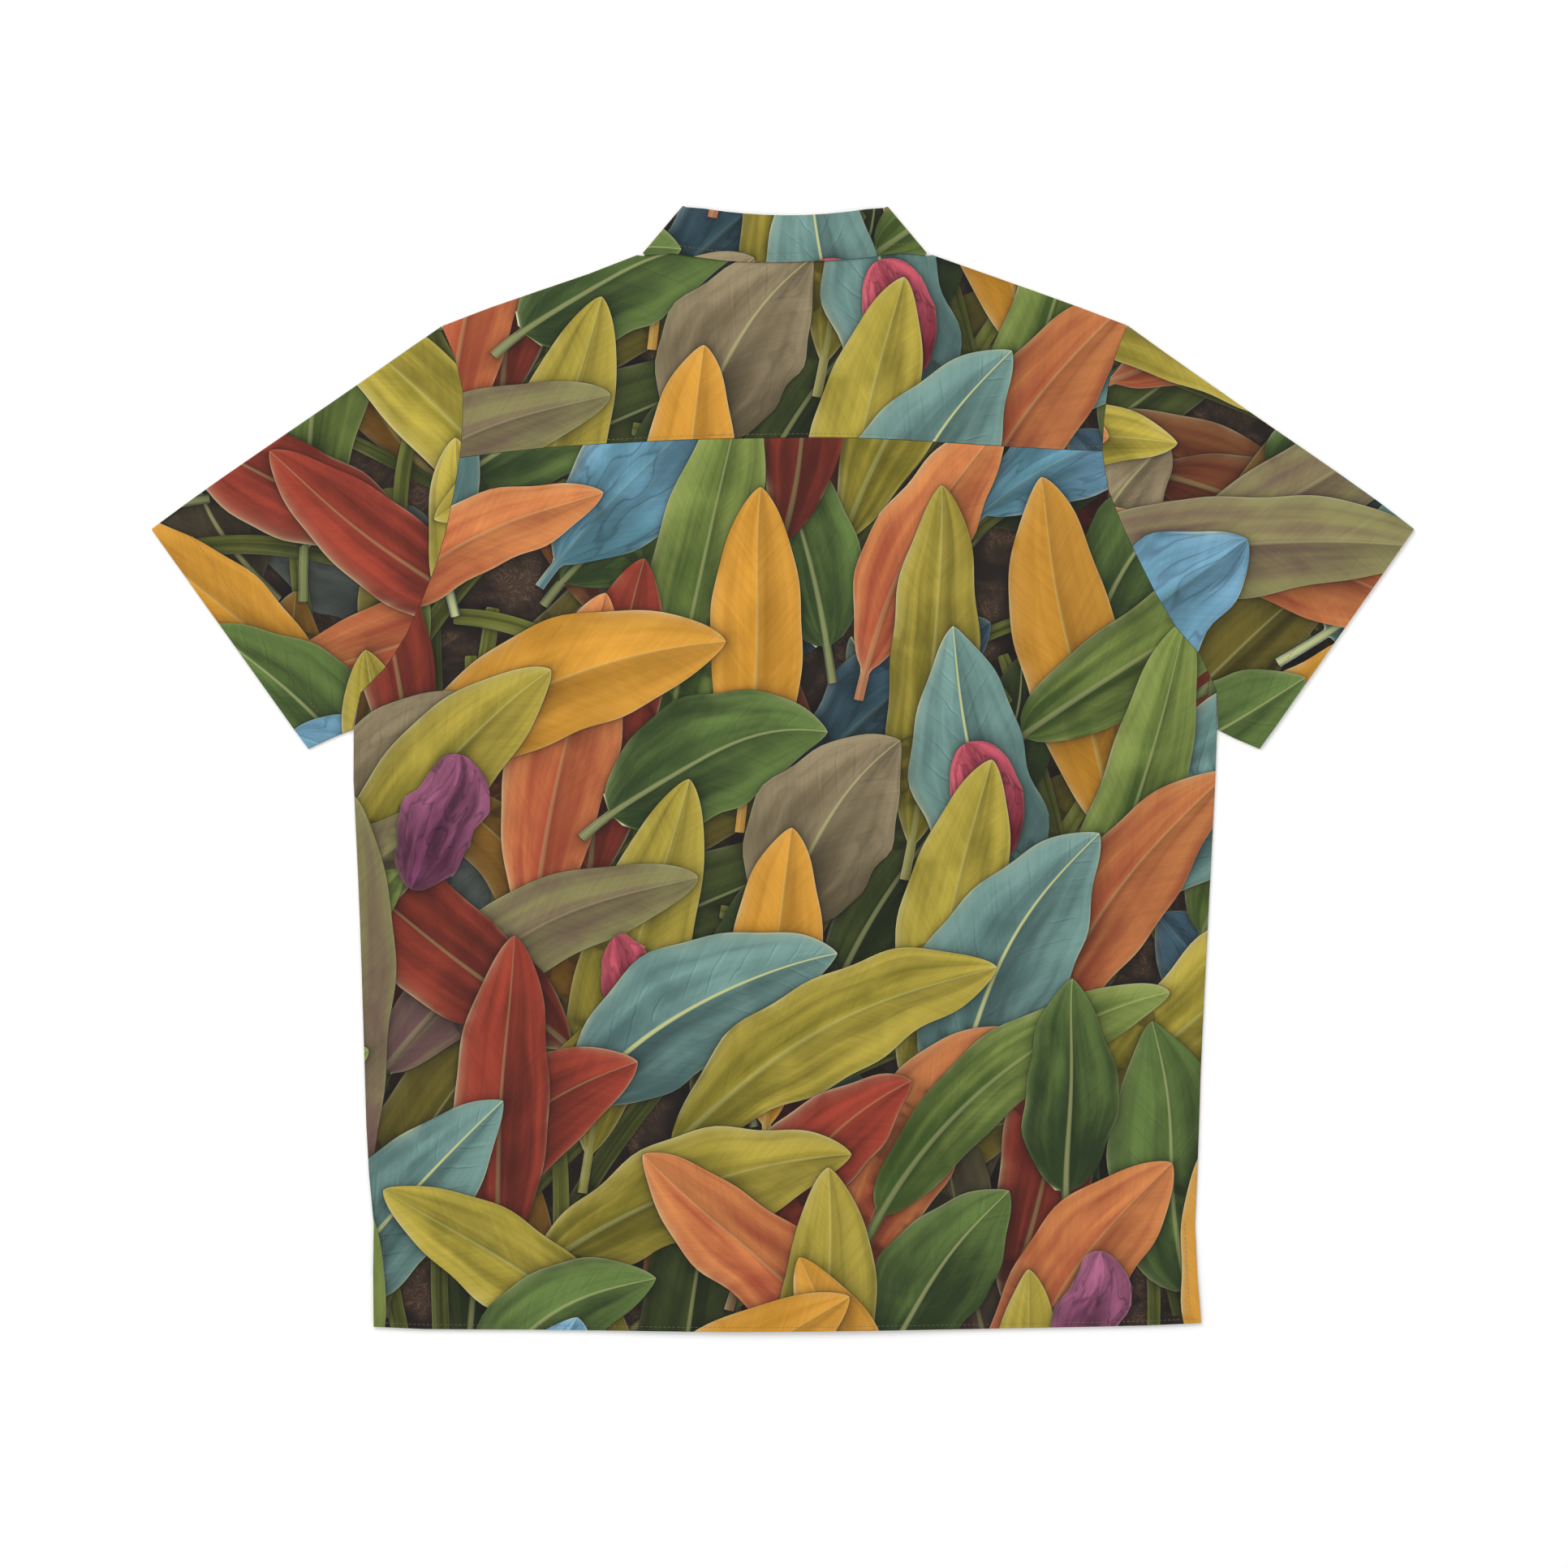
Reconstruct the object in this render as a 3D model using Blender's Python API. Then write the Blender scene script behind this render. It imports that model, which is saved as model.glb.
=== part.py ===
"""A short-sleeved shirt with an open collar, laid flat on its front with its back up.

Each sewn piece is one closed wall of cloth. Lengths in the tables are millimetres; the meshes are metres.
X runs across the shirt, with the wearer's left at -X, Y runs from hem to neck and Z is up, out of the back.
"""

import math

import bpy
import numpy as np

METRES = 0.001
# The corners of the collar are rounded, so the whole is moved this far to keep its outline centred.
CENTRING = (0.0, 0.45, 0.0)

# Cloth and how its layers lie on each other.
CLOTH = 1.0
SEAM_GAP = 0.3
LAYER_GAP = 0.6
LIFT = CLOTH + SEAM_GAP
BACK_REST = CLOTH + LAYER_GAP
ROLL_STEPS = 2
FLAT_STRIP = 1.1

# Buttons, and the overlap that they close.
BUTTON_RADIUS = 5.6
BUTTON_HEIGHT = 1.8
BUTTON_SIDES = 20
BUTTON_BEVEL = 0.4
BUTTON_HOLE_RADIUS = 0.9
BUTTON_HOLE_SPACING = 3.0
BUTTON_HOLE_SIDES = 6
BUTTON_COUNT = 6
BUTTON_PITCH = 84.0
TOP_BUTTON_Y = 206.0
BUTTON_LIFT = BUTTON_HEIGHT + SEAM_GAP
FRONT_CENTRE = 2.0
HALF_LAP = 18.0
LAP_TOP_Y = 222.0
PLACKET_FLAT = 14.0
# Rows along a front's roll line, from its foot; the fourth is just above where the two lines cross.
ROLL_LINE_STOPS = (0.0, 0.16, 0.3, 0.4, 0.6, 0.8, 1.0)
# Columns of a front, from its side to its lap.
FRONT_COLUMNS = (0.0, 0.2, 0.4, 0.56, 0.68, 0.78, 0.85, 0.905, 0.95, 1.0)

# Collar: radii are those of the wall's middle, where it turns at the neck's two sides.
STAND_TURN = (CLOTH + SEAM_GAP) / 2
FALL_TURN = STAND_TURN + LIFT
FOLD_TURN = (FALL_TURN - STAND_TURN) / 2
COLLAR_MIDDLE_Z = FALL_TURN + CLOTH / 2
COLLAR_TOP_LEFT = (-68.1, 385.1)
COLLAR_TOP_RIGHT = (71.4, 384.6)
COLLAR_TOP_DIP = 6.8
STAND_BEHIND = 27.0
STAND_AT_SIDE = 36.0
STAND_AT_GORGE = 0.6
# How far the yoke and the fronts keep inside the collar's turned side, and below its fall.
UNDER_COLLAR = 0.4
UNDER_FALL = 1.2
# From the collar's last section to the top of a roll line.
ROLL_START = SEAM_GAP + 0.1
BACK_STATIONS = 10
TURN_STEPS = 6
FOLD_STEPS = 4
# The lower edge of the fall behind the neck, left to right.
FALL_EDGE = (
    # x, y
    (-95.8, 352.4),
    (-86.9, 352.4),
    (-70.3, 351.4),
    (-47.0, 347.5),
    (-24.2, 346.0),
    (2.5, 345.9),
    (27.5, 346.9),
    (50.3, 348.3),
    (72.5, 350.9),
    (86.0, 353.3),
    (98.5, 352.4),
)
# One front half of the collar, from the neck's side to the gorge: out from the centre, then along Y.
COLLAR_LEAF = (
    # fold x, fold y, edge x, edge y, stand height
    (58.5, 369.0, 104.0, 334.0, 26.0),
    (51.0, 354.5, 113.0, 313.0, 13.0),
    (43.5, 340.0, 122.0, 292.0, STAND_AT_GORGE),
)
NOTCH = (77.0, 319.4)
LAPEL_TIP = (99.0, 281.0)
LAPEL_BELLY = (62.0, 250.0)
# Where the left facing stops short of the roll line's foot, and how long the right one's roll is.
FACING_SHORT = 2.0
FACING_RUN = 72.0
# From the foot of a facing's roll to the foot of its outer edge.
FACING_FOOT = {"left": (-9.0, -2.0), "right": (20.0, -26.0)}
FACING_STEPS = 6

# Edges of the body, the sleeves and the yoke, as distances from the middle of the whole shirt.
SIDE_EDGE = (
    # y, left, right
    (-96.4, 289.7, 291.4),
    (-196.4, 286.4, 286.4),
    (-263.1, 284.2, 284.2),
    (-312.0, 279.9, 282.0),
)
UNDERARM = (
    # y, left, right
    (26.6, 293.6, 297.0),
    (3.6, 294.2, 296.4),
)
VENT_EDGE = (
    # y, left, right
    (-345.0, 280.3, 283.4),
)
HEM = (
    # x, y
    (-279.9, -382.2),
    (-253.6, -383.6),
    (-158.1, -384.2),
    (-46.9, -385.5),
    (42.0, -385.0),
    (130.8, -383.6),
    (242.0, -381.4),
    (286.2, -379.5),
)
LEFT_ARMHOLE = (
    # x, y
    (-233.1, 302.5),
    (-225.9, 285.9),
    (-220.9, 269.8),
    (-218.6, 252.0),
    (-220.9, 212.0),
    (-232.5, 153.6),
    (-246.4, 115.8),
    (-265.9, 75.8),
    (-287.5, 53.6),
    (-293.6, 26.6),
)
RIGHT_ARMHOLE = (
    # x, y
    (235.3, 303.1),
    (227.0, 281.4),
    (221.4, 254.2),
    (218.3, 216.4),
    (223.6, 187.0),
    (241.4, 146.4),
    (265.3, 101.4),
    (290.9, 69.7),
    (298.0, 42.5),
    (297.0, 26.6),
)
# The row of each armhole table where the yoke's seam meets it.
YOKE_SEAM_ROW = {"left": 4, "right": 3}
ARMHOLE_FINE_STEPS = 240
ARMHOLE_STEPS = (4, 8)
YOKE_SEAM = (
    # x, y
    (-220.9, 212.0),
    (-165.8, 218.9),
    (-105.3, 222.5),
    (-46.9, 224.7),
    (53.1, 225.3),
    (155.9, 219.7),
    (218.3, 216.4),
)
SHOULDER = {
    "left": ((-233.1, 302.5), (-224.7, 306.4), (-180.3, 322.0), (-135.8, 337.0), (-99.8, 350.9)),
    "right": ((235.3, 303.1), (219.7, 309.2), (175.3, 325.3), (130.8, 340.9), (102.3, 351.0)),
}
SLEEVE_FOLD = {
    "left": ((-233.1, 302.5), (-253.6, 288.6), (-298.1, 257.5), (-387.0, 196.4), (-432.0, 163.6)),
    "right": ((235.3, 303.1), (264.2, 282.5), (308.6, 251.4), (397.5, 189.7), (432.0, 163.6)),
}
SLEEVE_UNDERARM = {
    "left": ((-293.6, 26.6), (-309.2, 20.3), (-324.7, 13.1)),
    "right": ((297.0, 26.6), (309.5, 20.3), (326.4, 13.1)),
}

# How far each raised place reaches before the layers above it slope down again.
COLLAR_MARGIN = 30.0
STRIP_MARGIN = 4.0
LAP_MARGIN = 8.0
LAP_TOP_FLAT = 44.0
LAP_TOP_SLOPE = 60.0
STRIP_TOP_SLOPE = 50.0
STRIP_FOOT_SLOPE = 90.0
FRONT_SLOPE = 48.0
BACK_SLOPE = 62.0
STRIP_SLOPE = 42.0
BACK_STRIP_SLOPE = 120.0

CLOTH_COLOUR = (0.225, 0.173, 0.084)
BUTTON_COLOUR = (0.09, 0.05, 0.03)


def clear_scene():
    for obj in list(bpy.data.objects):
        bpy.data.objects.remove(obj, do_unlink=True)


def principled(name, colour, roughness):
    material = bpy.data.materials.new(name)
    material.use_nodes = True
    shader = material.node_tree.nodes["Principled BSDF"]
    shader.inputs["Base Color"].default_value = (*colour, 1.0)
    shader.inputs["Roughness"].default_value = roughness
    shader.inputs["Metallic"].default_value = 0.0
    return material


# ---- plan curves ----


def along(points, stops):
    """Points of a smooth curve through the given ones, at stops from 0 to 1 of its length."""
    knots = np.array(points, float)
    ends = np.vstack([2 * knots[0] - knots[1], knots, 2 * knots[-1] - knots[-2]])
    fine = []
    for before, start, stop, after in zip(ends, ends[1:], ends[2:], ends[3:]):
        for t in np.linspace(0.0, 1.0, 16, endpoint=False):
            line = (stop - before) * t
            bend = (2 * before - 5 * start + 4 * stop - after) * t**2
            twist = (3 * start - before - 3 * stop + after) * t**3
            fine.append(start + 0.5 * (line + bend + twist))
    fine.append(knots[-1])
    fine = np.array(fine)
    run = np.concatenate([[0.0], np.cumsum(np.linalg.norm(np.diff(fine, axis=0), axis=1))])
    reach = np.array(stops) * run[-1]
    return np.column_stack([np.interp(reach, run, fine[:, axis]) for axis in (0, 1)])


def evenly(points, steps):
    return along(points, np.linspace(0.0, 1.0, steps + 1))


def joined(*runs):
    """Runs of points joined end to end, each shared end kept once."""
    return np.vstack([runs[0]] + [run[1:] for run in runs[1:]])


def turned(vectors, quarter):
    """Vectors in plan turned by a quarter turn to the left (1) or to the right (-1)."""
    return np.column_stack([-vectors[:, 1], vectors[:, 0]]) * quarter


def unit(vectors):
    return vectors / np.linalg.norm(vectors, axis=-1, keepdims=True)


def outward(edge, quarter, rolled=None):
    """The direction out of the piece at each point of an edge.

    A point follows the stretches beside it that are rolled, or not, as it is.
    """
    steps = unit(np.diff(edge, axis=0))
    kinds = np.zeros(len(edge), bool) if rolled is None else rolled
    tangents = np.zeros_like(edge)
    for index in range(len(steps)):
        same = kinds[index] == kinds[index + 1]
        for end in (index, index + 1):
            tangents[end] += steps[index] * (1.0 if same else 0.001)
    return turned(unit(tangents), quarter)


# ---- heights of the layers ----


def fade(distance, flat, slope):
    """1 up to the flat distance, then an even S down to 0 across the slope."""
    t = np.clip((np.asarray(distance) - flat) / slope, 0.0, 1.0)
    return 1.0 - t * t * (3.0 - 2.0 * t)


def distance_to(polygon, points):
    """Distance of each point to a convex polygon, 0 inside it."""
    corners = np.array(polygon, float)
    nearest = np.full(len(points), np.inf)
    inside = np.ones(len(points), bool)
    for start, stop in zip(corners, np.roll(corners, -1, axis=0)):
        edge = stop - start
        offset = points - start
        t = np.clip(offset @ edge / (edge @ edge), 0.0, 1.0)
        nearest = np.minimum(nearest, np.linalg.norm(offset - t[:, None] * edge, axis=1))
        inside &= edge[0] * offset[:, 1] - edge[1] * offset[:, 0] >= 0.0
    return np.where(inside, 0.0, nearest)


def collar_ground():
    """The convex outline of what the collar and the lapels cover at the front, anticlockwise."""
    leaf_tip = COLLAR_LEAF[-1][2:4]
    left = [(-x, y) for x, y in (leaf_tip, LAPEL_TIP)]
    lap = [(FRONT_CENTRE - HALF_LAP, LAP_TOP_Y), (FRONT_CENTRE + HALF_LAP, LAP_TOP_Y)]
    right = [LAPEL_TIP, leaf_tip]
    return [COLLAR_TOP_LEFT, FALL_EDGE[0], *left, *lap, *right, FALL_EDGE[-1], COLLAR_TOP_RIGHT]


def collar_lift(points, slope):
    return fade(distance_to(collar_ground(), points), COLLAR_MARGIN, slope)


def strip_lift(points, slope):
    """1 over the row of buttons."""
    last_button = TOP_BUTTON_Y - (BUTTON_COUNT - 1) * BUTTON_PITCH
    across = fade(np.abs(points[:, 0] - FRONT_CENTRE), HALF_LAP + STRIP_MARGIN, slope)
    above = fade(points[:, 1] - TOP_BUTTON_Y, PLACKET_FLAT, STRIP_TOP_SLOPE)
    below = fade(last_button - points[:, 1], PLACKET_FLAT, STRIP_FOOT_SLOPE)
    return across * above * below


def lap_lift(points, slope):
    """1 where the right front lies on the left one."""
    across = fade(points[:, 0] - FRONT_CENTRE, HALF_LAP + LAP_MARGIN, slope)
    above = fade(points[:, 1] - LAP_TOP_Y, LAP_TOP_FLAT, LAP_TOP_SLOPE)
    return across * above


def left_front_level(points):
    return LIFT * collar_lift(points, FRONT_SLOPE) + BUTTON_LIFT * strip_lift(points, STRIP_SLOPE)


def right_front_level(points):
    return left_front_level(points) + BACK_REST * lap_lift(points, STRIP_SLOPE)


def back_level(points):
    """The underside of the back and the yoke, clear of the fronts and down to the stand at the neck."""
    collar = (2 * LIFT - BACK_REST) * collar_lift(points, BACK_SLOPE)
    across = fade(np.abs(points[:, 0] - FRONT_CENTRE), HALF_LAP + LAP_MARGIN, BACK_STRIP_SLOPE)
    lap = BACK_REST * across * fade(points[:, 1] - LAP_TOP_Y, LAP_TOP_FLAT, LAP_TOP_SLOPE)
    return BACK_REST + collar + lap + BUTTON_LIFT * strip_lift(points, BACK_STRIP_SLOPE)


def lowest_level(points):
    return np.zeros(len(points))


# ---- closed walls ----


def wall(grid, ring=False, spare=(0, 0, 0, 0)):
    """Vertices and faces of a closed wall of cloth around a grid of points in its middle.

    The grid's rows run along its second axis. A ring's rows close on themselves. The spare rows and
    columns, at the low, high, left and right ends, only steer the wall's last edges.
    """
    if ring:
        padded = np.concatenate([grid[:, -1:], grid, grid[:, :1]], axis=1)
        across = padded[:, 2:] - padded[:, :-2]
    else:
        across = np.gradient(grid, axis=1)
    normals = unit(np.cross(across, np.gradient(grid, axis=0)))
    low, high, left, right = spare
    kept = (slice(low, grid.shape[0] - high), slice(left, grid.shape[1] - right))
    grid, normals = grid[kept], normals[kept]
    rows, columns = grid.shape[:2]
    upper = (grid + normals * CLOTH / 2).reshape(-1, 3)
    lower = (grid - normals * CLOTH / 2).reshape(-1, 3)
    below = rows * columns
    faces = []
    last = columns if ring else columns - 1
    for i in range(rows - 1):
        for j in range(last):
            after = (j + 1) % columns
            a, b = i * columns + j, i * columns + after
            c, d = b + columns, a + columns
            faces.append((a, b, c, d))
            faces.append((below + d, below + c, below + b, below + a))
    for i, flip in ((0, False), (rows - 1, True)):
        for j in range(last):
            a, b = i * columns + j, i * columns + (j + 1) % columns
            faces.append((below + a, below + b, b, a) if not flip else (a, b, below + b, below + a))
    if not ring:
        for j, flip in ((0, True), (columns - 1, False)):
            for i in range(rows - 1):
                a, b = i * columns + j, (i + 1) * columns + j
                faces.append((below + a, below + b, b, a) if not flip else (a, b, below + b, below + a))
    return np.vstack([upper, lower]), faces


def facing_out(vertices, faces):
    """The faces, turned over if they would close inwards."""
    volume = 0.0
    for face in faces:
        first = vertices[face[0]]
        for second, third in zip(face[1:], face[2:]):
            volume += np.dot(first, np.cross(vertices[second], vertices[third]))
    return faces if volume > 0.0 else [face[::-1] for face in faces]


def piece(name, vertices, faces, material, sharp_degrees=50.0):
    mesh = bpy.data.meshes.new(name)
    mesh.from_pydata(((vertices + CENTRING) * METRES).tolist(), [], facing_out(vertices, faces))
    mesh.materials.append(material)
    mesh.shade_smooth()
    mesh.set_sharp_from_angle(angle=math.radians(sharp_degrees))
    obj = bpy.data.objects.new(name, mesh)
    bpy.context.scene.collection.objects.link(obj)
    return obj


# ---- panels ----


class Edge:
    """One edge of a panel: its outline in plan, and where it rolls over to meet the layer it is sewn to."""

    def __init__(self, points, quarter, rolled=None, partner=None):
        self.points = np.array(points, float)
        self.rolled = np.zeros(len(self.points), bool) if rolled is None else np.array(rolled)
        self.out = outward(self.points, quarter, self.rolled)
        self.partner = partner
        self.steps = ROLL_STEPS if self.rolled.any() else 0

    def settle(self, level):
        """Works out the roll's radius, its direction and the inner line where it starts."""
        own = level(self.points)
        partner = self.partner(self.points) if self.steps else own
        self.way = np.sign(partner - own)
        self.radius = np.abs(partner - own) / 2
        self.radius = np.where(self.rolled, self.radius, 1.0)
        self.length = np.where(self.rolled, self.radius * math.pi / 2 - SEAM_GAP / 2, FLAT_STRIP)
        reach = self.radius * np.sin(self.length / self.radius)
        inset = np.where(self.rolled, reach + CLOTH / 2, FLAT_STRIP * (self.steps > 0))
        self.inner = self.points - self.out * inset[:, None]

    def beyond(self, step):
        """How far out and how far up the wall's middle has gone after a step of the roll."""
        run = self.length * step / max(self.steps, 1)
        angle = np.where(self.rolled, run / self.radius, 0.0)
        outwards = np.where(self.rolled, self.radius * np.sin(angle), run)
        upwards = np.where(self.rolled, self.way * self.radius * (1 - np.cos(angle)), 0.0)
        return outwards[:, None] * self.out, upwards


def panel(low, high, left, right, level):
    """The wall of a panel between its four edges, with the rolled strips along them.

    low and high run left to right, left and right run upwards, and level gives the underside's height.
    """
    for edge in (low, high, left, right):
        edge.settle(level)
    base = blend(low, high, left, right)
    columns, rows = base.shape[1], base.shape[0]
    spare = [1 if edge.steps else 0 for edge in (low, high, left, right)]
    column_steps = range(-left.steps - spare[2], columns + right.steps + spare[3])
    row_steps = range(-low.steps - spare[0], rows + high.steps + spare[1])
    grid = np.zeros((len(row_steps), len(column_steps), 3))
    for i, row in enumerate(row_steps):
        for j, column in enumerate(column_steps):
            at_row, at_column = min(max(row, 0), rows - 1), min(max(column, 0), columns - 1)
            point = base[at_row, at_column].copy()
            height = level(point[None])[0] + CLOTH / 2
            for edge, step, index in (
                (left, -column, at_row),
                (right, column - columns + 1, at_row),
                (low, -row, at_column),
                (high, row - rows + 1, at_column),
            ):
                if step > 0:
                    outwards, upwards = edge.beyond(step)
                    point += outwards[index]
                    height += upwards[index]
            grid[i, j] = (*point, height)
    return wall(grid, spare=spare)


def blend(low, high, left, right):
    """Plan points between four edges, evenly blended from all of them."""
    u = stops_of(low.inner) * 0.5 + stops_of(high.inner) * 0.5
    v = stops_of(left.inner) * 0.5 + stops_of(right.inner) * 0.5
    u, v = u[None, :, None], v[:, None, None]
    corners = {
        (0, 0): (left.inner[0] + low.inner[0] - low.points[0]),
        (1, 0): (right.inner[0] + low.inner[-1] - low.points[-1]),
        (0, 1): (left.inner[-1] + high.inner[0] - high.points[0]),
        (1, 1): (right.inner[-1] + high.inner[-1] - high.points[-1]),
    }
    bottom, top = low.inner.copy(), high.inner.copy()
    side, other = left.inner.copy(), right.inner.copy()
    bottom[0] = side[0] = corners[0, 0]
    bottom[-1] = other[0] = corners[1, 0]
    top[0] = side[-1] = corners[0, 1]
    top[-1] = other[-1] = corners[1, 1]
    ruled = (1 - v) * bottom[None] + v * top[None] + (1 - u) * side[:, None] + u * other[:, None]
    twisted = (1 - u) * (1 - v) * corners[0, 0] + u * (1 - v) * corners[1, 0]
    return ruled - twisted - (1 - u) * v * corners[0, 1] - u * v * corners[1, 1]


def stops_of(points):
    run = np.concatenate([[0.0], np.cumsum(np.linalg.norm(np.diff(points, axis=0), axis=1))])
    return run / run[-1]


# ---- collar ----


def fold_behind(stops):
    """The top edge of the collar behind the neck, dipping between its two corners."""
    left, right = np.array(COLLAR_TOP_LEFT), np.array(COLLAR_TOP_RIGHT)
    points = left + stops[:, None] * (right - left)
    points[:, 1] -= COLLAR_TOP_DIP * (1.0 - (2.0 * stops - 1.0) ** 2)
    return points


class Station:
    """A section across the collar: where its fold is, which way it stands, and its two heights."""

    def __init__(self, centre, rise, stand, fall, normal):
        self.centre = np.array([*centre, COLLAR_MIDDLE_Z])
        self.rise = np.array([*rise, 0.0])
        self.stand = stand
        self.fall = fall
        self.normal = np.array(normal, float)

    def seam_point(self, gap=0.0):
        """Plan point of the neck seam, or a gap below it."""
        return (self.centre - self.rise * (self.stand + gap))[:2]

    def section(self):
        """Middle points of the wall from the neck seam up the stand, over the fold and down the fall."""
        profile = [(-self.stand * part, STAND_TURN) for part in (1.0, 0.5, 0.0)]
        middle = (STAND_TURN + FALL_TURN) / 2
        for step in range(1, FOLD_STEPS):
            angle = math.pi * step / FOLD_STEPS
            profile.append((FOLD_TURN * math.sin(angle), middle - FOLD_TURN * math.cos(angle)))
        profile += [(-self.fall * part, FALL_TURN) for part in (0.0, 0.33, 0.67, 1.0)]
        return [self.centre + self.rise * up + self.normal * out for up, out in profile]


def collar_side(side):
    """The centre of the turn at the neck's side, its rise and its outward direction in plan."""
    corner = np.array(COLLAR_TOP_LEFT if side == "left" else COLLAR_TOP_RIGHT)
    edge = np.array(FALL_EDGE[0] if side == "left" else FALL_EDGE[-1])
    rise = unit(corner - edge)
    out = np.array([-rise[1], rise[0]]) if side == "left" else np.array([rise[1], -rise[0]])
    centre = corner - rise * (FOLD_TURN + CLOTH / 2) - out * (FALL_TURN + CLOTH / 2)
    fall = np.linalg.norm(corner - edge) - FOLD_TURN - CLOTH / 2
    return centre, rise, out, fall


def side_stations(side):
    """Stations from the back round to the front at one side of the neck, the last one on the front."""
    centre, rise, out, fall = collar_side(side)
    found = []
    for step in range(TURN_STEPS + 1):
        angle = math.pi * step / TURN_STEPS
        normal = (*(out * math.sin(angle)), math.cos(angle))
        found.append(Station(centre, rise, STAND_AT_SIDE, fall, normal))
    return found


def back_stations():
    """Stations behind the neck, between the two sides."""
    stops = np.linspace(0.0, 1.0, BACK_STATIONS + 1)[1:-1]
    folds = fold_behind(stops)
    edges = along(FALL_EDGE, stops)
    found = []
    for stop, fold, edge in zip(stops, folds, edges):
        rise = unit(fold - edge)
        centre = fold - rise * (FOLD_TURN + CLOTH / 2)
        side = (2.0 * stop - 1.0) ** 2
        stand = STAND_BEHIND + (STAND_AT_SIDE - STAND_BEHIND) * side
        found.append(Station(centre, rise, stand, np.linalg.norm(centre - edge), (0.0, 0.0, 1.0)))
    return found


def leaf_stations(side):
    """Stations along one front half of the collar, from the neck's side to the gorge."""
    sign = -1.0 if side == "left" else 1.0
    found = []
    for fold_x, fold_y, edge_x, edge_y, stand in COLLAR_LEAF:
        fold = np.array([FRONT_CENTRE + sign * fold_x, fold_y])
        edge = np.array([FRONT_CENTRE + sign * edge_x, edge_y])
        rise = unit(fold - edge)
        centre = fold - rise * (FOLD_TURN + CLOTH / 2)
        found.append(Station(centre, rise, stand, np.linalg.norm(centre - edge), (0.0, 0.0, -1.0)))
    return found


def make_collar(material):
    left, right = side_stations("left"), side_stations("right")
    stations = leaf_stations("left")[::-1] + left[::-1] + back_stations() + right + leaf_stations("right")
    grid = np.array([station.section() for station in stations])
    return piece("collar", *wall(grid), material)


def neck_seam_behind():
    """The yoke's neck edge, left to right, a seam's gap below the stand."""
    stations = [side_stations("left")[0]] + back_stations() + [side_stations("right")[0]]
    return np.array([station.seam_point(SEAM_GAP) for station in stations])


def gorge(side):
    """The collar's last section at the front: its fold's outer point and the direction of its rise."""
    last = leaf_stations(side)[-1]
    rise = last.rise[:2]
    return last.centre[:2] + rise * (FOLD_TURN + CLOTH / 2), rise


def roll_line_end(side):
    sign = 1.0 if side == "left" else -1.0
    return np.array([FRONT_CENTRE + sign * HALF_LAP, LAP_TOP_Y])


def neck_seam_before(side):
    """A front's neck edge, from the top of its roll line to the shoulder."""
    fold, rise = gorge(side)
    down = unit(roll_line_end(side) - fold)
    start = fold + down * ROLL_START
    corner = start - rise * (FOLD_TURN + CLOTH / 2 + STAND_AT_GORGE + SEAM_GAP)
    seam = [station.seam_point(SEAM_GAP) for station in leaf_stations(side)[-2::-1]]
    return np.array([start, corner, *seam])


def shoulder_edge(side, stops):
    """The shoulder from the armhole to the neck, and which of its points are rolled.

    Its last stretch lies flat inside the collar's turned side.
    """
    centre, rise, out, fall = collar_side(side)
    inside = centre + out * UNDER_COLLAR
    clear = inside - rise * (fall + UNDER_FALL)
    neck = inside - rise * (STAND_AT_SIDE + 2 * SEAM_GAP)
    points = np.vstack([along(SHOULDER[side], stops), clear, neck])
    return points, [True] * len(stops) + [False, False]


# ---- pieces ----


def column(rows, side):
    """Plan points of one side from rows of y, left, right."""
    sign, place = (-1.0, 1) if side == "left" else (1.0, 2)
    return [(sign * row[place], row[0]) for row in rows]


def body_side(side, vent_steps, side_steps):
    """The body's edge from the hem to the underarm, and which of its points are rolled."""
    edge = column(UNDERARM + SIDE_EDGE, side)[::-1]
    hem_end = HEM[0] if side == "left" else HEM[-1]
    vent = [hem_end] + column(VENT_EDGE, side) + edge[:1]
    points = joined(evenly(vent, vent_steps), evenly(edge, side_steps))
    rolled = [index >= vent_steps for index in range(len(points))]
    return points, rolled


def armhole(side, part="whole"):
    """The armhole from the shoulder down, with the same points in each piece that meets it."""
    rows = LEFT_ARMHOLE if side == "left" else RIGHT_ARMHOLE
    seam_row = YOKE_SEAM_ROW[side]
    fine = evenly(rows, ARMHOLE_FINE_STEPS)
    seam = int(np.argmin(np.linalg.norm(fine - rows[seam_row], axis=1)))
    upper = evenly(fine[: seam + 1], ARMHOLE_STEPS[0])
    lower = evenly(fine[seam:], ARMHOLE_STEPS[1])
    return {"upper": upper, "lower": lower, "whole": joined(upper, lower)}[part]


def make_back(material):
    edges = {}
    for side, quarter in (("left", 1), ("right", -1)):
        below, rolled = body_side(side, 2, 10)
        above = armhole(side, "lower")[::-1]
        rolled += [False] * (len(above) - 1)
        edges[side] = Edge(joined(below, above), quarter, rolled, left_front_level)
    low = Edge(evenly(HEM, 16), -1)
    high = Edge(evenly(YOKE_SEAM, 16), 1)
    return piece("back", *panel(low, high, edges["left"], edges["right"], back_level), material)


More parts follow.
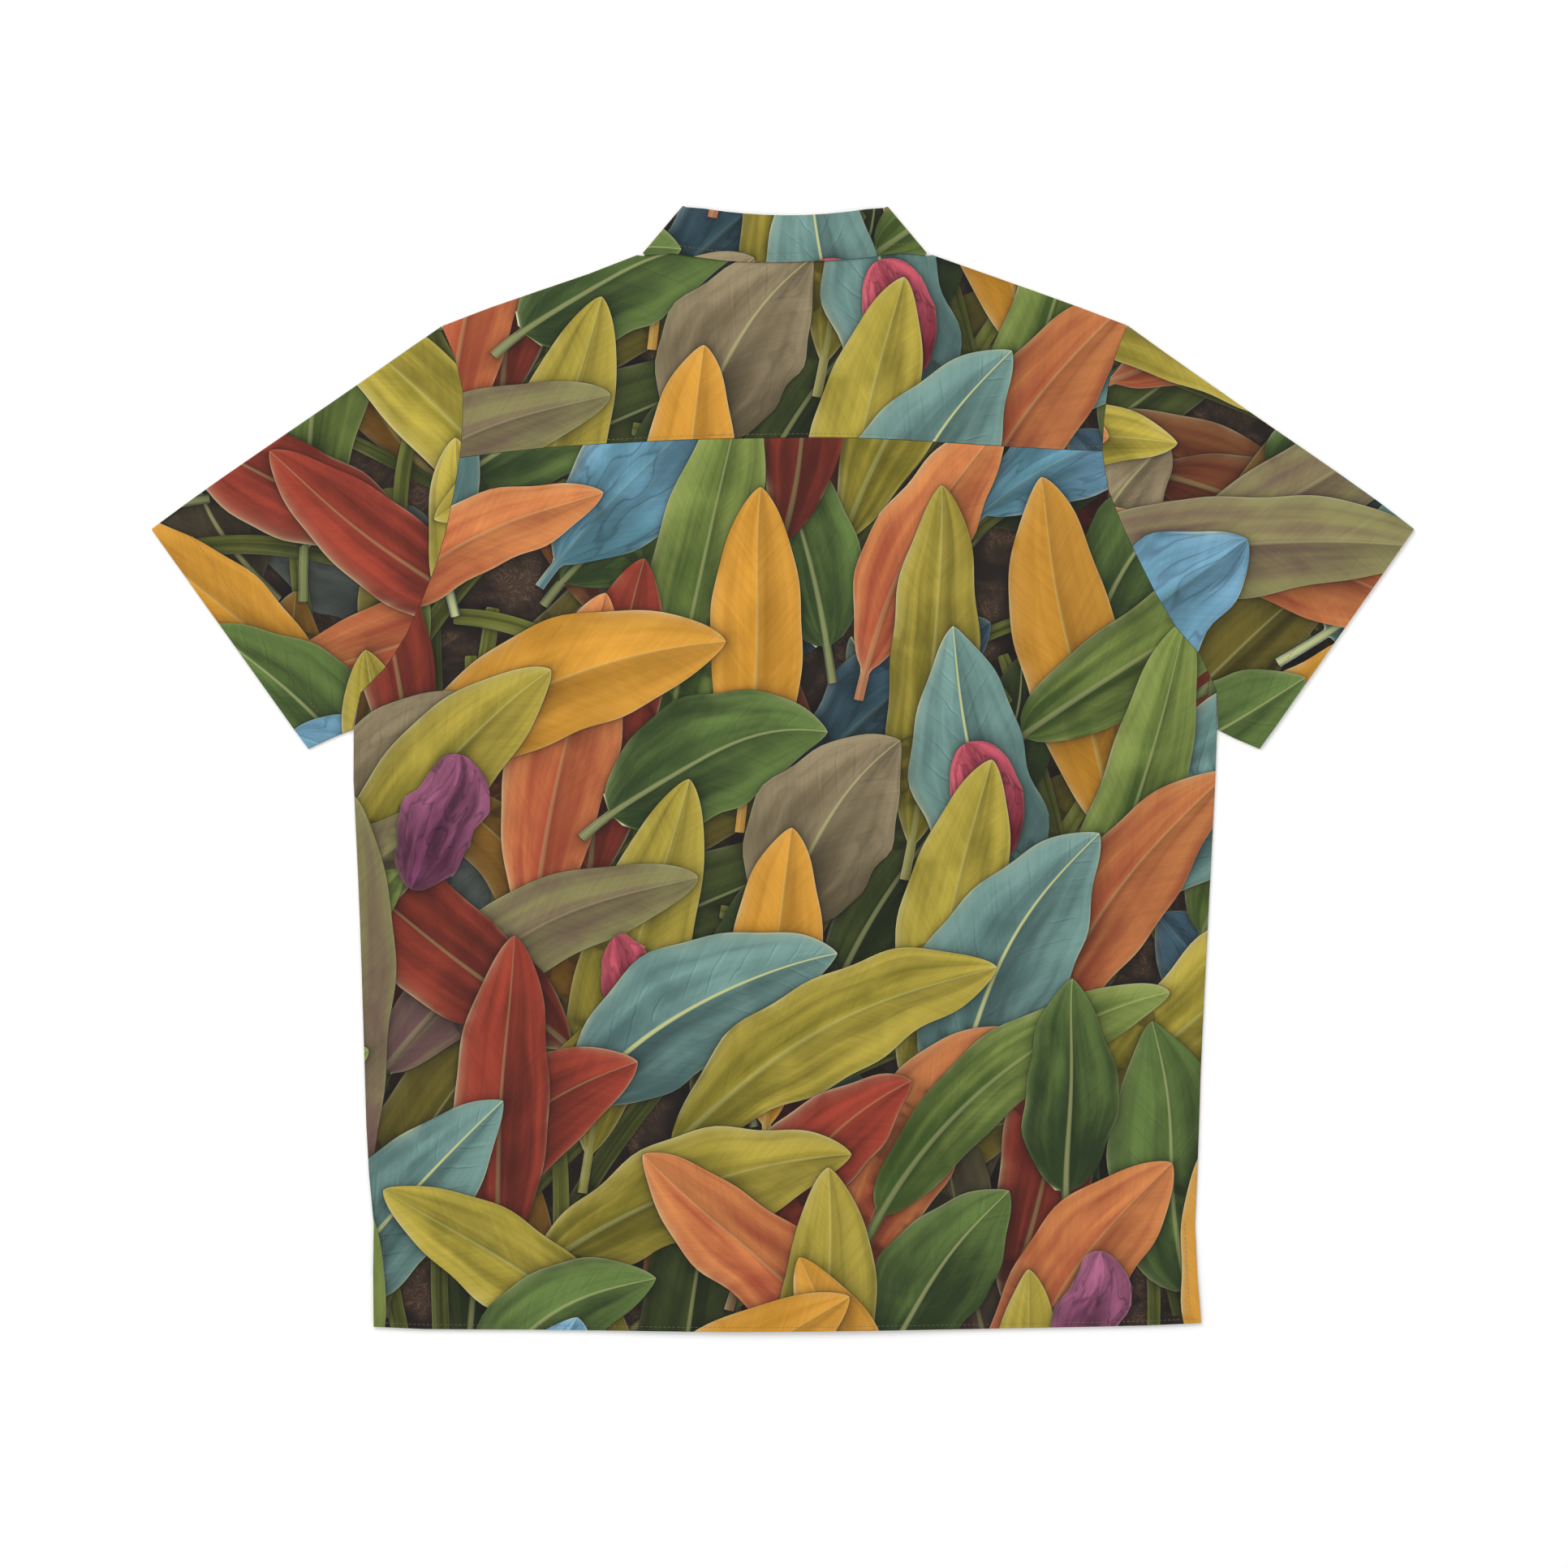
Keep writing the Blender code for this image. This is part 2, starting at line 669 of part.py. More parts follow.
def make_yoke(material):
    edges = {}
    for side, quarter in (("left", 1), ("right", -1)):
        edge = armhole(side, "upper")[::-1].copy()
        edge[0, 1] += SEAM_GAP
        edges[side] = Edge(edge, quarter)
    neck = neck_seam_behind()
    stops = np.linspace(0.0, 1.0, 5)
    (left, left_rolled), (right, right_rolled) = shoulder_edge("left", stops), shoulder_edge("right", stops)
    top = np.vstack([left, neck[1:-1], right[::-1]])
    rolled = left_rolled + [False] * (len(neck) - 2) + right_rolled[::-1]
    seam = along(YOKE_SEAM, stops_of(top)) + (0.0, SEAM_GAP)
    high = Edge(top, 1, rolled, left_front_level)
    return piece("yoke", *panel(Edge(seam, -1), high, edges["left"], edges["right"], back_level), material)


def front_inner_edge(side):
    """A front's edge from the hem up its lap, its roll line and its neck seam, and what is rolled of it."""
    end = roll_line_end(side)
    hem_y = float(np.interp(end[0], *np.array(HEM).T))
    seam = neck_seam_before(side)
    lap = evenly(((end[0], hem_y), tuple(end)), 13)
    roll = along((tuple(end), tuple(seam[0])), ROLL_LINE_STOPS)
    neck = shoulder_edge(side, (0.0, 1.0))[0][-1]
    points = np.vstack([joined(lap, roll), seam[1:], neck])
    first_rolled = len(lap) - 1 + (3 if side == "right" else 0)
    last_rolled = len(lap) + len(roll) - 2
    return points, [first_rolled <= index <= last_rolled for index in range(len(points))]


def make_front(side, material):
    level = left_front_level if side == "left" else right_front_level
    inner, inner_rolled = front_inner_edge(side)
    above = armhole(side)[::-1]
    outer, outer_rolled = body_side(side, 2, len(inner) - len(above) - 2)
    outer_rolled += [False] * (len(above) - 1)
    outer = joined(outer, above)
    inner_quarter = -1 if side == "left" else 1
    outer_edge = Edge(outer, -inner_quarter, outer_rolled, back_level)
    inner_edge = Edge(inner, inner_quarter, inner_rolled, lowest_level)
    columns = np.array(FRONT_COLUMNS)
    shoulder, rolled = shoulder_edge(side, columns[:-2] / columns[-3])
    hem_x = outer[0, 0] + columns * (inner[0, 0] - outer[0, 0])
    hem = np.column_stack([hem_x, np.interp(hem_x, *np.array(HEM).T)])
    if side == "left":
        low, high = Edge(hem, -1), Edge(shoulder, 1, rolled, back_level)
        vertices, faces = panel(low, high, outer_edge, inner_edge, level)
    else:
        low, high = Edge(hem[::-1], -1), Edge(shoulder[::-1], 1, rolled[::-1], back_level)
        vertices, faces = panel(low, high, inner_edge, outer_edge, level)
    return piece(f"front_{side}", vertices, faces, material)


def make_facing(side, material):
    """The turned-out lapel, from the gorge down to the end of its roll line."""
    sign = -1.0 if side == "left" else 1.0
    level = left_front_level if side == "left" else right_front_level
    fold, rise = gorge(side)
    end = roll_line_end(side)
    down = unit(end - fold)
    start = fold + down * ROLL_START
    stop = end - down * FACING_SHORT if side == "left" else start + down * FACING_RUN
    roll = evenly((tuple(stop), tuple(start)), FACING_STEPS)
    tip = np.array([FRONT_CENTRE + sign * LAPEL_TIP[0], LAPEL_TIP[1]])
    belly = np.array([FRONT_CENTRE + sign * LAPEL_BELLY[0], LAPEL_BELLY[1]])
    notch = np.array([FRONT_CENTRE + sign * NOTCH[0], NOTCH[1]]) + down * ROLL_START
    foot = stop + np.array(FACING_FOOT[side])
    outer = evenly((tuple(foot), tuple(belly), tuple(tip)), FACING_STEPS)
    bottom = evenly((tuple(foot), tuple(stop)), 3)
    top = joined(evenly((tuple(tip), tuple(notch)), 1), evenly((tuple(notch), tuple(start)), 2))
    roll_edge = Edge(roll, 1 if side == "right" else -1, [True] * len(roll), level)
    outer_edge = Edge(outer, -1 if side == "right" else 1)
    if side == "left":
        vertices, faces = panel(Edge(bottom, -1), Edge(top, 1), outer_edge, roll_edge, lowest_level)
    else:
        low, high = Edge(bottom[::-1], -1), Edge(top[::-1], 1)
        vertices, faces = panel(low, high, roll_edge, outer_edge, lowest_level)
    return piece(f"facing_{side}", vertices, faces, material)


def make_sleeve(side, material):
    """A tube laid flat, its ring running over the fold, along the upper layer and back along the lower."""
    turn = BACK_REST / 2
    fold = evenly(SLEEVE_FOLD[side], 8)
    under = evenly(SLEEVE_UNDERARM[side], 8)
    hole = armhole(side)
    quarter = 1 if side == "left" else -1
    hole_out = outward(hole, -quarter)
    hem = evenly((tuple(fold[-1]), tuple(under[-1])), 12)
    fold_out, under_out = outward(fold, -quarter), outward(under, quarter)
    inset = turn + CLOTH / 2
    fold_in, under_in = fold - fold_out * inset, under - under_out * inset
    fold_in[0] += hole_out[0] * 2 * SEAM_GAP
    under_in[0] += hole_out[-1] * SEAM_GAP
    seam = hole + hole_out * SEAM_GAP
    flat = tube_layer(fold_in, under_in, seam, hem)
    middle = BACK_REST / 2 + CLOTH / 2
    rows = []
    for i in range(len(fold)):
        upper = [(*point, middle + turn) for point in flat[i]]
        lower = [(*point, middle - turn) for point in flat[i][::-1]]
        rows.append(
            half_turn(fold_in[i], fold_out[i], middle, turn, upwards=True)
            + upper
            + half_turn(under_in[i], under_out[i], middle, turn, upwards=False)
            + lower
        )
    return piece(f"sleeve_{side}", *wall(np.array(rows), ring=True), material)


def half_turn(centre, out, middle, turn, upwards):
    """Points of the half circle between the two layers, without its ends."""
    steps = 2 * ROLL_STEPS
    found = []
    for step in range(1, steps):
        angle = math.pi * (step / steps - 0.5) * (1 if upwards else -1)
        found.append((*(centre + out * turn * math.cos(angle)), middle + turn * math.sin(angle)))
    return found


def tube_layer(fold, under, seam, hem):
    """Plan points of one layer of a sleeve: rows from the armhole to the hem, each from fold to underarm."""
    seam, hem = seam.copy(), hem.copy()
    seam[0], seam[-1] = fold[0], under[0]
    hem[0], hem[-1] = fold[-1], under[-1]
    u = stops_of(seam)[None, :, None]
    v = np.linspace(0.0, 1.0, len(fold))[:, None, None]
    ruled = (1 - v) * seam[None] + v * hem[None] + (1 - u) * fold[:, None] + u * under[:, None]
    corners = (1 - u) * (1 - v) * fold[0] + u * (1 - v) * under[0] + (1 - u) * v * fold[-1] + u * v * under[-1]
    return ruled - corners


def make_button(number, material):
    """A round button with four holes through it, face down against the left front."""
    place = np.array([[FRONT_CENTRE, TOP_BUTTON_Y - (number - 1) * BUTTON_PITCH]])
    rest = left_front_level(place)[0] - BUTTON_LIFT
    centre = np.array([*place[0], rest]) + CENTRING
    bpy.ops.mesh.primitive_cylinder_add(
        vertices=BUTTON_SIDES,
        radius=BUTTON_RADIUS * METRES,
        depth=BUTTON_HEIGHT * METRES,
        location=(0.0, 0.0, 0.0),
    )
    button = bpy.context.object
    button.name = f"button_{number}"
    button.location = (centre + (0.0, 0.0, BUTTON_HEIGHT / 2)) * METRES
    button.data.materials.append(material)
    bevel = button.modifiers.new("rim", "BEVEL")
    bevel.width = BUTTON_BEVEL * METRES
    bevel.segments = 1
    bevel.limit_method = "ANGLE"
    cutter = button_holes(number, centre)
    holes = button.modifiers.new("holes", "BOOLEAN")
    holes.operation = "DIFFERENCE"
    holes.object = cutter
    button.data.shade_smooth()
    button.data.set_sharp_from_angle(angle=math.radians(40.0))
    return button


def button_holes(number, centre):
    """The cutter for a button's four holes: four pins in one mesh."""
    sides = BUTTON_HOLE_SIDES
    vertices, faces = [], []
    for corner in range(4):
        around = math.radians(45.0 + 90.0 * corner)
        middle = np.array([math.cos(around), math.sin(around)]) * BUTTON_HOLE_SPACING / math.sqrt(2.0)
        first = len(vertices)
        for height in (-1.0, BUTTON_HEIGHT + 1.0):
            for step in range(sides):
                angle = 2.0 * math.pi * step / sides
                spot = middle + BUTTON_HOLE_RADIUS * np.array([math.cos(angle), math.sin(angle)])
                vertices.append((*spot, height))
        low = [first + step for step in range(sides)]
        high = [first + sides + step for step in range(sides)]
        faces += [tuple(low[::-1]), tuple(high)]
        faces += [(low[k], low[(k + 1) % sides], high[(k + 1) % sides], high[k]) for k in range(sides)]
    mesh = bpy.data.meshes.new(f"holes_{number}")
    mesh.from_pydata((np.array(vertices) * METRES).tolist(), [], faces)
    cutter = bpy.data.objects.new(f"holes_{number}", mesh)
    cutter.location = centre * METRES
    cutter.hide_render = True
    cutter.display_type = "WIRE"
    bpy.context.scene.collection.objects.link(cutter)
    return cutter


def main():
    clear_scene()
    make_back(principled("back_cloth", CLOTH_COLOUR, 0.8))
    make_yoke(principled("yoke_cloth", CLOTH_COLOUR, 0.8))
    make_collar(principled("collar_cloth", CLOTH_COLOUR, 0.8))
    for side in ("left", "right"):
        make_front(side, principled(f"front_{side}_cloth", CLOTH_COLOUR, 0.8))
        make_facing(side, principled(f"facing_{side}_cloth", CLOTH_COLOUR, 0.8))
        make_sleeve(side, principled(f"sleeve_{side}_cloth", CLOTH_COLOUR, 0.8))
    button_material = principled("button_shell", BUTTON_COLOUR, 0.35)
    for number in range(1, BUTTON_COUNT + 1):
        make_button(number, button_material)


main()
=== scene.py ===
import logging
import math
from collections.abc import Callable
from dataclasses import dataclass
from enum import Enum, IntEnum

import bmesh
import bpy
import numpy as np
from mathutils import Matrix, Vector
from mathutils.bvhtree import BVHTree
from mathutils.geometry import delaunay_2d_cdt


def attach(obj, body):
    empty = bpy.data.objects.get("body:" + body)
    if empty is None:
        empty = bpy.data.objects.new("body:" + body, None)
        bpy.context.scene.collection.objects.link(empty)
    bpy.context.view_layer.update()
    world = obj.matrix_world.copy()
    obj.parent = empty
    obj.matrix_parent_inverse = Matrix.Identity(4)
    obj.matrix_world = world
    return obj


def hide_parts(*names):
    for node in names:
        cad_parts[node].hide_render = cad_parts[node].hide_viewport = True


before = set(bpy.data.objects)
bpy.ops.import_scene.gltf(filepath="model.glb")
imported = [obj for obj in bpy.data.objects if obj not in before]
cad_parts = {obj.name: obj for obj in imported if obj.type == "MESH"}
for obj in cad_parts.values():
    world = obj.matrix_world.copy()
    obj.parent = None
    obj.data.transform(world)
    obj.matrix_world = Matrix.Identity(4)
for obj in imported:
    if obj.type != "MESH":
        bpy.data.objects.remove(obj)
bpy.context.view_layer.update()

log = logging.getLogger("shirt")

MM = 0.001

Colour = tuple[float, float, float]
Point = tuple[float, float]
Band = tuple[float, float, float, float]


class Side(IntEnum):
    """Which way a printed side looks, as the sign of its height."""

    UP = 1
    DOWN = -1


# ---------------------------------------------------------------- shader maths


def linear(colour: Colour) -> Colour:
    """Turns a display colour into the linear one that a shader takes.

    Args:
        colour: Red, green and blue from 0 to 1 as a screen shows them.

    Returns:
        The same colour in linear light.
    """
    return tuple(((c + 0.055) / 1.055) ** 2.4 if c > 0.04045 else c / 12.92 for c in colour)


def add_node(
    tree: bpy.types.NodeTree,
    kind: str,
    settings: dict[str, object] | None = None,
    values: dict[str | int, object] | None = None,
) -> bpy.types.Node:
    """Adds any node to any tree.

    Args:
        tree: The tree.
        kind: The node's type.
        settings: Properties, which are set first.
        values: Values, or the sockets to link, by the input's name or number.

    Returns:
        The node.
    """
    made = tree.nodes.new(kind)
    for key, value in (settings or {}).items():
        setattr(made, key, value)
    for key, value in (values or {}).items():
        if isinstance(value, bpy.types.NodeSocket):
            tree.links.new(value, made.inputs[key])
        else:
            made.inputs[key].default_value = value
    return made


class Signal:
    """One output socket of a shader, with the arithmetic that a finish needs."""

    def __init__(self, shader: "Shader", socket: bpy.types.NodeSocket) -> None:
        """Keeps the socket and the shader that it belongs to."""
        self.shader = shader
        self.socket = socket

    def _math(self, operation: str, *values: "Signal | float") -> "Signal":
        """Adds one Math node.

        Args:
            operation: Name of the Math node's operation.
            values: Its inputs in order.

        Returns:
            The node's result.
        """
        return self.shader.node("ShaderNodeMath", {"operation": operation}, dict(enumerate(values)))

    def __add__(self, other: "Signal | float") -> "Signal":
        """Sum."""
        return self._math("ADD", self, other)

    __radd__ = __add__

    def __sub__(self, other: "Signal | float") -> "Signal":
        """Difference."""
        return self._math("SUBTRACT", self, other)

    def __rsub__(self, other: "Signal | float") -> "Signal":
        """Difference, taken from a number."""
        return self._math("SUBTRACT", other, self)

    def __mul__(self, other: "Signal | float") -> "Signal":
        """Product."""
        return self._math("MULTIPLY", self, other)

    __rmul__ = __mul__

    def __truediv__(self, other: "Signal | float") -> "Signal":
        """Quotient."""
        return self._math("DIVIDE", self, other)

    def fract(self) -> "Signal":
        """The part after the decimal point."""
        return self._math("FRACT", self)

    def absolute(self) -> "Signal":
        """Size without sign."""
        return self._math("ABSOLUTE", self)

    def centred(self) -> "Signal":
        """A value from 0 to 1, moved to lie about 0."""
        return self - 0.5

    def decay(self) -> "Signal":
        """e raised to minus self."""
        return self._math("EXPONENT", self * -1.0)

    def band(self, low: float, high: float, start: float = 0.0, end: float = 1.0) -> "Signal":
        """Smooth step between two values.

        Args:
            low: Where the step starts.
            high: Where the step ends.
            start: Result below the step.
            end: Result above the step.

        Returns:
            The stepped value.
        """
        settings = {"interpolation_type": "SMOOTHSTEP"}
        values = {"Value": self, "From Min": low, "From Max": high, "To Min": start, "To Max": end}
        return self.shader.node("ShaderNodeMapRange", settings, values)


class Shader:
    """Builds one material's node tree."""

    def __init__(self, name: str) -> None:
        """Makes an empty material.

        Args:
            name: The material's name.
        """
        self.material = bpy.data.materials.new(name)
        self.material.use_nodes = True
        self.tree = self.material.node_tree
        self.tree.nodes.clear()

    def node(
        self,
        kind: str,
        settings: dict[str, object] | None = None,
        values: dict[str | int, object] | None = None,
        output: str | int = 0,
    ) -> Signal:
        """Adds any node.

        Args:
            kind: The node's type.
            settings: Properties, which are set first.
            values: Values or links of its sockets, by name or number.
            output: The output that is returned.

        Returns:
            The chosen output.
        """
        plain = {
            key: value.socket if isinstance(value, Signal) else value
            for key, value in (values or {}).items()
        }
        made = add_node(self.tree, kind, settings, plain)
        return Signal(self, made.outputs[output])

    def attribute(self, name: str, output: str = "Vector") -> Signal:
        """Reads an attribute of the mesh."""
        return self.node("ShaderNodeAttribute", {"attribute_name": name}, output=output)

    def parts(self, vector: Signal) -> tuple[Signal, Signal, Signal]:
        """Splits a vector into its three numbers.

        Args:
            vector: The vector.

        Returns:
            Its three numbers.
        """
        first = self.node("ShaderNodeSeparateXYZ", values={0: vector})
        outputs = first.socket.node.outputs
        return first, Signal(self, outputs[1]), Signal(self, outputs[2])

    def vector(self, x: Signal | float, y: Signal | float, z: Signal | float) -> Signal:
        """Joins three numbers into a vector."""
        return self.node("ShaderNodeCombineXYZ", values={0: x, 1: y, 2: z})

    def place(self) -> Signal:
        """The object's own coordinates, in metres."""
        return self.node("ShaderNodeTexCoord", output="Object")

    def noise(self, vector: Signal, scale: float, detail: float = 3.0, twist: float = 0.0) -> Signal:
        """Soft noise from 0 to 1.

        Args:
            vector: Where it is read.
            scale: Cells per unit.
            detail: Finer layers.
            twist: Distortion.

        Returns:
            The noise's value.
        """
        values = {"Vector": vector, "Scale": scale, "Detail": detail, "Distortion": twist}
        return self.node("ShaderNodeTexNoise", None, values, output="Fac")

    def mix(self, first: Signal | Colour, second: Signal | Colour, share: Signal | float) -> Signal:
        """Blends two colours.

        Args:
            first: Colour at share 0.
            second: Colour at share 1.
            share: Share of the second.

        Returns:
            The blended colour.
        """
        values = {0: share, 6: _paint(first), 7: _paint(second)}
        return self.node("ShaderNodeMix", {"data_type": "RGBA"}, values, output=2)

    def scaled(self, colour: Signal, amount: Signal) -> Signal:
        """Multiplies a colour by a number."""
        return self.node("ShaderNodeVectorMath", {"operation": "SCALE"}, {0: colour, "Scale": amount})

    def finish(
        self,
        colour: Signal | Colour,
        roughness: Signal | float,
        normal: Signal | None = None,
        constants: dict[str, object] | None = None,
    ) -> bpy.types.Material:
        """Adds the surface shader and closes the tree.

        Args:
            colour: Base colour.
            roughness: Roughness.
            normal: Bumped normal.
            constants: Other sockets' plain values.

        Returns:
            The finished material.
        """
        values = {"Base Color": _paint(colour), "Roughness": roughness, **(constants or {})}
        if normal is not None:
            values["Normal"] = normal
        surface = self.node("ShaderNodeBsdfPrincipled", None, values)
        add_node(self.tree, "ShaderNodeOutputMaterial", None, {"Surface": surface.socket})
        return self.material

    def bump(self, height: Signal, strength: float, distance: float) -> Signal:
        """Normal bumped by a height."""
        values = {"Strength": strength, "Distance": distance, "Height": height}
        return self.node("ShaderNodeBump", None, values)


def _paint(colour: Signal | Colour) -> Signal | tuple[float, float, float, float]:
    """Gives a plain linear colour its fourth number."""
    return colour if isinstance(colour, Signal) else (*colour, 1.0)


# ---------------------------------------------------------------- finishes


@dataclass(frozen=True)
class Weave:
    """Fine plain weave of a light viscose cloth."""

    pitch: float = 0.55
    depth: float = 0.05
    strength: float = 0.25
    fuzz_scale: float = 900.0

    def height(self, shader: Shader) -> Signal:
        """Height of crossing threads.

        Args:
            shader: The tree that it is added to.

        Returns:
            Height from 0 to 1.
        """
        x, y, _ = shader.parts(shader.place())
        along = (x / (self.pitch * MM)).fract().centred().absolute()
        across = (y / (self.pitch * MM)).fract().centred().absolute()
        return (along + across) + shader.noise(shader.place(), self.fuzz_scale, detail=2.0)

    def normal(self, shader: Shader) -> Signal:
        """The weave as a bumped normal."""
        return shader.bump(self.height(shader), self.strength, self.depth * MM)


@dataclass(frozen=True)
class PrintedCloth:
    """Surface values that every printed ink shares, with reaches in millimetres."""

    roughness: float = 0.82
    sheen: float = 0.07
    sheen_roughness: float = 0.5
    specular: float = 0.25
    weave: Weave = Weave()
    shade_reach: float = 8.0
    shade_depth: float = 0.55
    line_reach: float = 1.1
    line_depth: float = 0.45
    dim: float = 0.86

    def shaded(self, shader: Shader, colour: Signal, cover: Signal) -> Signal:
        """Darkens a colour under the edge of the motif that lies over it.

        Args:
            shader: The tree.
            colour: The ink's colour.
            cover: Distance to the covering motif's edge in millimetres.

        Returns:
            The shaded colour.
        """
        shade = (cover / self.shade_reach).decay() * self.shade_depth
        line = (cover / self.line_reach).decay() * self.line_depth
        return shader.scaled(colour, (1.0 - shade) * (1.0 - line) * self.dim)

    def close(self, shader: Shader, colour: Signal) -> bpy.types.Material:
        """Finishes an ink as cloth.

        Args:
            shader: The tree.
            colour: The ink's colour.

        Returns:
            The material.
        """
        constants = {
            "Sheen Weight": self.sheen,
            "Sheen Roughness": self.sheen_roughness,
            "Specular IOR Level": self.specular,
        }
        return shader.finish(colour, self.roughness, self.weave.normal(shader), constants)


@dataclass(frozen=True)
class GroundInk:
    """Dark brown earth between the leaves, with fibres and specks."""

    cloth: PrintedCloth = PrintedCloth()
    deep: Colour = (0.13, 0.10, 0.085)
    earth: Colour = (0.26, 0.195, 0.15)
    fibre: Colour = (0.44, 0.34, 0.26)
    clump_scale: float = 34.0
    curl_scale: float = 85.0
    curl_width: float = 0.05
    earth_span: Point = (0.36, 0.66)
    fibre_span: Point = (0.45, 0.62)
    fibre_share: float = 0.65

    def material(self) -> bpy.types.Material:
        """Builds the ground's material.

        Returns:
            The material.
        """
        shader = Shader("ground_ink")
        place = shader.place()
        clumps = shader.noise(place, self.clump_scale, detail=4.0, twist=0.5)
        curls = shader.noise(place, self.curl_scale, detail=2.0, twist=3.0)
        share = clumps.band(*self.earth_span)
        colour = shader.mix(linear(self.deep), linear(self.earth), share)
        ridge = curls.centred().absolute().band(0.0, self.curl_width, 1.0, 0.0)
        ridge = ridge * clumps.band(*self.fibre_span) * self.fibre_share
        colour = shader.mix(colour, linear(self.fibre), ridge)
        _, cover, _ = shader.parts(shader.attribute("leaf_facts"))
        return self.cloth.close(shader, self.cloth.shaded(shader, colour, cover))


@dataclass(frozen=True)
class LeafInk:
    """A painted leaf: two tones, midrib, side veins, light rim and brush strokes.

    Pitches, widths and reaches are in millimetres. A depth or a share says how strongly a layer tells.
    A span gives the values between which a layer comes in, and a band also its first and last strength.
    """

    cloth: PrintedCloth = PrintedCloth()
    rib_colour: Colour = (0.80, 0.81, 0.55)
    rim_colour: Colour = (0.86, 0.84, 0.66)
    least_width: float = 0.5
    mottle_scale: float = 17.0
    mottling: float = 0.42
    wash_scale: float = 1.9
    wash_stretch: tuple[float, float, float] = (1.1, 1.6, 3.0)
    wash_depth: float = 0.35
    turn_along: float = 0.75
    turn_mottle: float = 0.7
    turn_wash: float = 1.3
    turn_side: float = 0.2
    tone_turn: Point = (0.05, 0.95)
    stroke_scale: float = 1.6
    stroke_stretch: tuple[float, float, float] = (0.16, 0.022, 9.0)
    stroke_depth: float = 0.34
    dark_half: Band = (0.0, 0.9, 0.76, 0.98)
    light_half: Band = (0.0, 1.0, 1.13, 0.99)
    margin_band: Band = (0.80, 1.0, 1.0, 0.90)
    rib_width: float = 2.6
    rib_taper: float = 1.2
    rib_band: Band = (0.30, 1.0, 1.0, 0.0)
    rib_share: float = 0.85
    rim_reach: float = 0.7
    rim_depth: float = 0.7
    rim_span: Point = (0.34, 0.62)
    glow_reach: float = 3.2
    glow_depth: float = 0.5
    vein_pitch: float = 21.0
    vein_slope: float = 1.3
    vein_waver: float = 26.0
    vein_width: float = 0.045
    vein_depth: float = 0.38
    vein_glow_place: float = 0.60
    vein_glow_width: float = 0.12
    vein_glow: float = 0.12
    vein_start: Point = (0.02, 0.16)
    vein_end: Band = (0.45, 0.92, 1.0, 0.0)
    vein_span: Point = (0.0, 0.8)
    vein_patches: Point = (0.36, 0.56)
    fold_scale: float = 2.1
    fold_stretch: Point = (1.5, 1.15)
    fold_depth: float = 1.7
    crease_width: float = 0.035
    crease_depth: float = 0.42

    def material(self) -> bpy.types.Material:
        """Builds the leaves' material.

        Returns:
            The material.
        """
        shader = Shader("leaf_ink")
        along, across, width = shader.parts(shader.attribute("leaf_place"))
        half, cover, seed = shader.parts(shader.attribute("leaf_facts"))
        veins, rim, crumple = shader.parts(shader.attribute("leaf_style"))
        reach = shader.attribute("leaf_reach", "Fac")
        blade = shader.vector(along * MM, across * half * MM, seed)
        mottle = shader.noise(blade, self.mottle_scale, twist=0.6)
        strokes = self._strokes(shader, along, across, half, seed)
        side = across / (width + self.least_width)
        long, wide, deep = self.wash_stretch
        across_leaf = shader.vector(reach * long, side * half * wide, seed * deep)
        washes = shader.noise(across_leaf, self.wash_scale, twist=0.3)
        turn = reach * self.turn_along + mottle.centred() * self.turn_mottle
        turn = turn + washes.centred() * self.turn_wash + side * self.turn_side
        base = shader.attribute("leaf_base", "Color")
        tip = shader.attribute("leaf_tip", "Color")
        colour = shader.mix(base, tip, turn.band(*self.tone_turn))
        light = self._halves(side, half) * (1.0 + washes.centred() * self.wash_depth)
        light = light * (1.0 + mottle.centred() * self.mottling)
        light = light * (1.0 + strokes.centred() * self.stroke_depth)
        light = light * self._veins(along, across, side, mottle, veins)
        light = light * self._folds(shader, reach, side * half, seed, crumple)
        colour = shader.scaled(colour, light)
        rib = (across / ((self.rib_taper - reach) * self.rib_width)).band(*self.rib_band)
        colour = shader.mix(colour, linear(self.rib_colour), rib * veins * self.rib_share)
        margin = width - across
        glow = (margin / self.glow_reach).decay() * (half * 0.5 + 0.5) * self.glow_depth
        edge = (margin / self.rim_reach).decay() * self.rim_depth + glow
        edge = edge * rim * mottle.band(*self.rim_span)
        colour = shader.mix(colour, linear(self.rim_colour), edge)
        return self.cloth.close(shader, self.cloth.shaded(shader, colour, cover))

    def _strokes(
        self, shader: Shader, along: Signal, across: Signal, half: Signal, seed: Signal
    ) -> Signal:
        """Fine brush strokes that run from the midrib to the margin.

        Args:
            shader: The tree.
            along: Distance from the leaf's foot.
            across: Distance from the midrib.
            half: Which half of the leaf.
            seed: The leaf's own number.

        Returns:
            The strokes, from 0 to 1.
        """
        long, wide, deep = self.stroke_stretch
        cut = (along - across * self.vein_slope) * long
        blade = shader.vector(cut, across * half * wide, seed * deep)
        return shader.noise(blade, self.stroke_scale, detail=4.0, twist=0.3)

    def _halves(self, side: Signal, half: Signal) -> Signal:
        """Shades one half of the leaf darker, most beside the midrib.

        Args:
            side: Share of the way from midrib to margin.
            half: +1 on the light half, -1 on the dark one.

        Returns:
            A factor for the colour.
        """
        dark = side.band(*self.dark_half)
        bright = side.band(*self.light_half)
        share = half * 0.5 + 0.5
        edge = side.band(*self.margin_band)
        return (dark * (1.0 - share) + bright * share) * edge

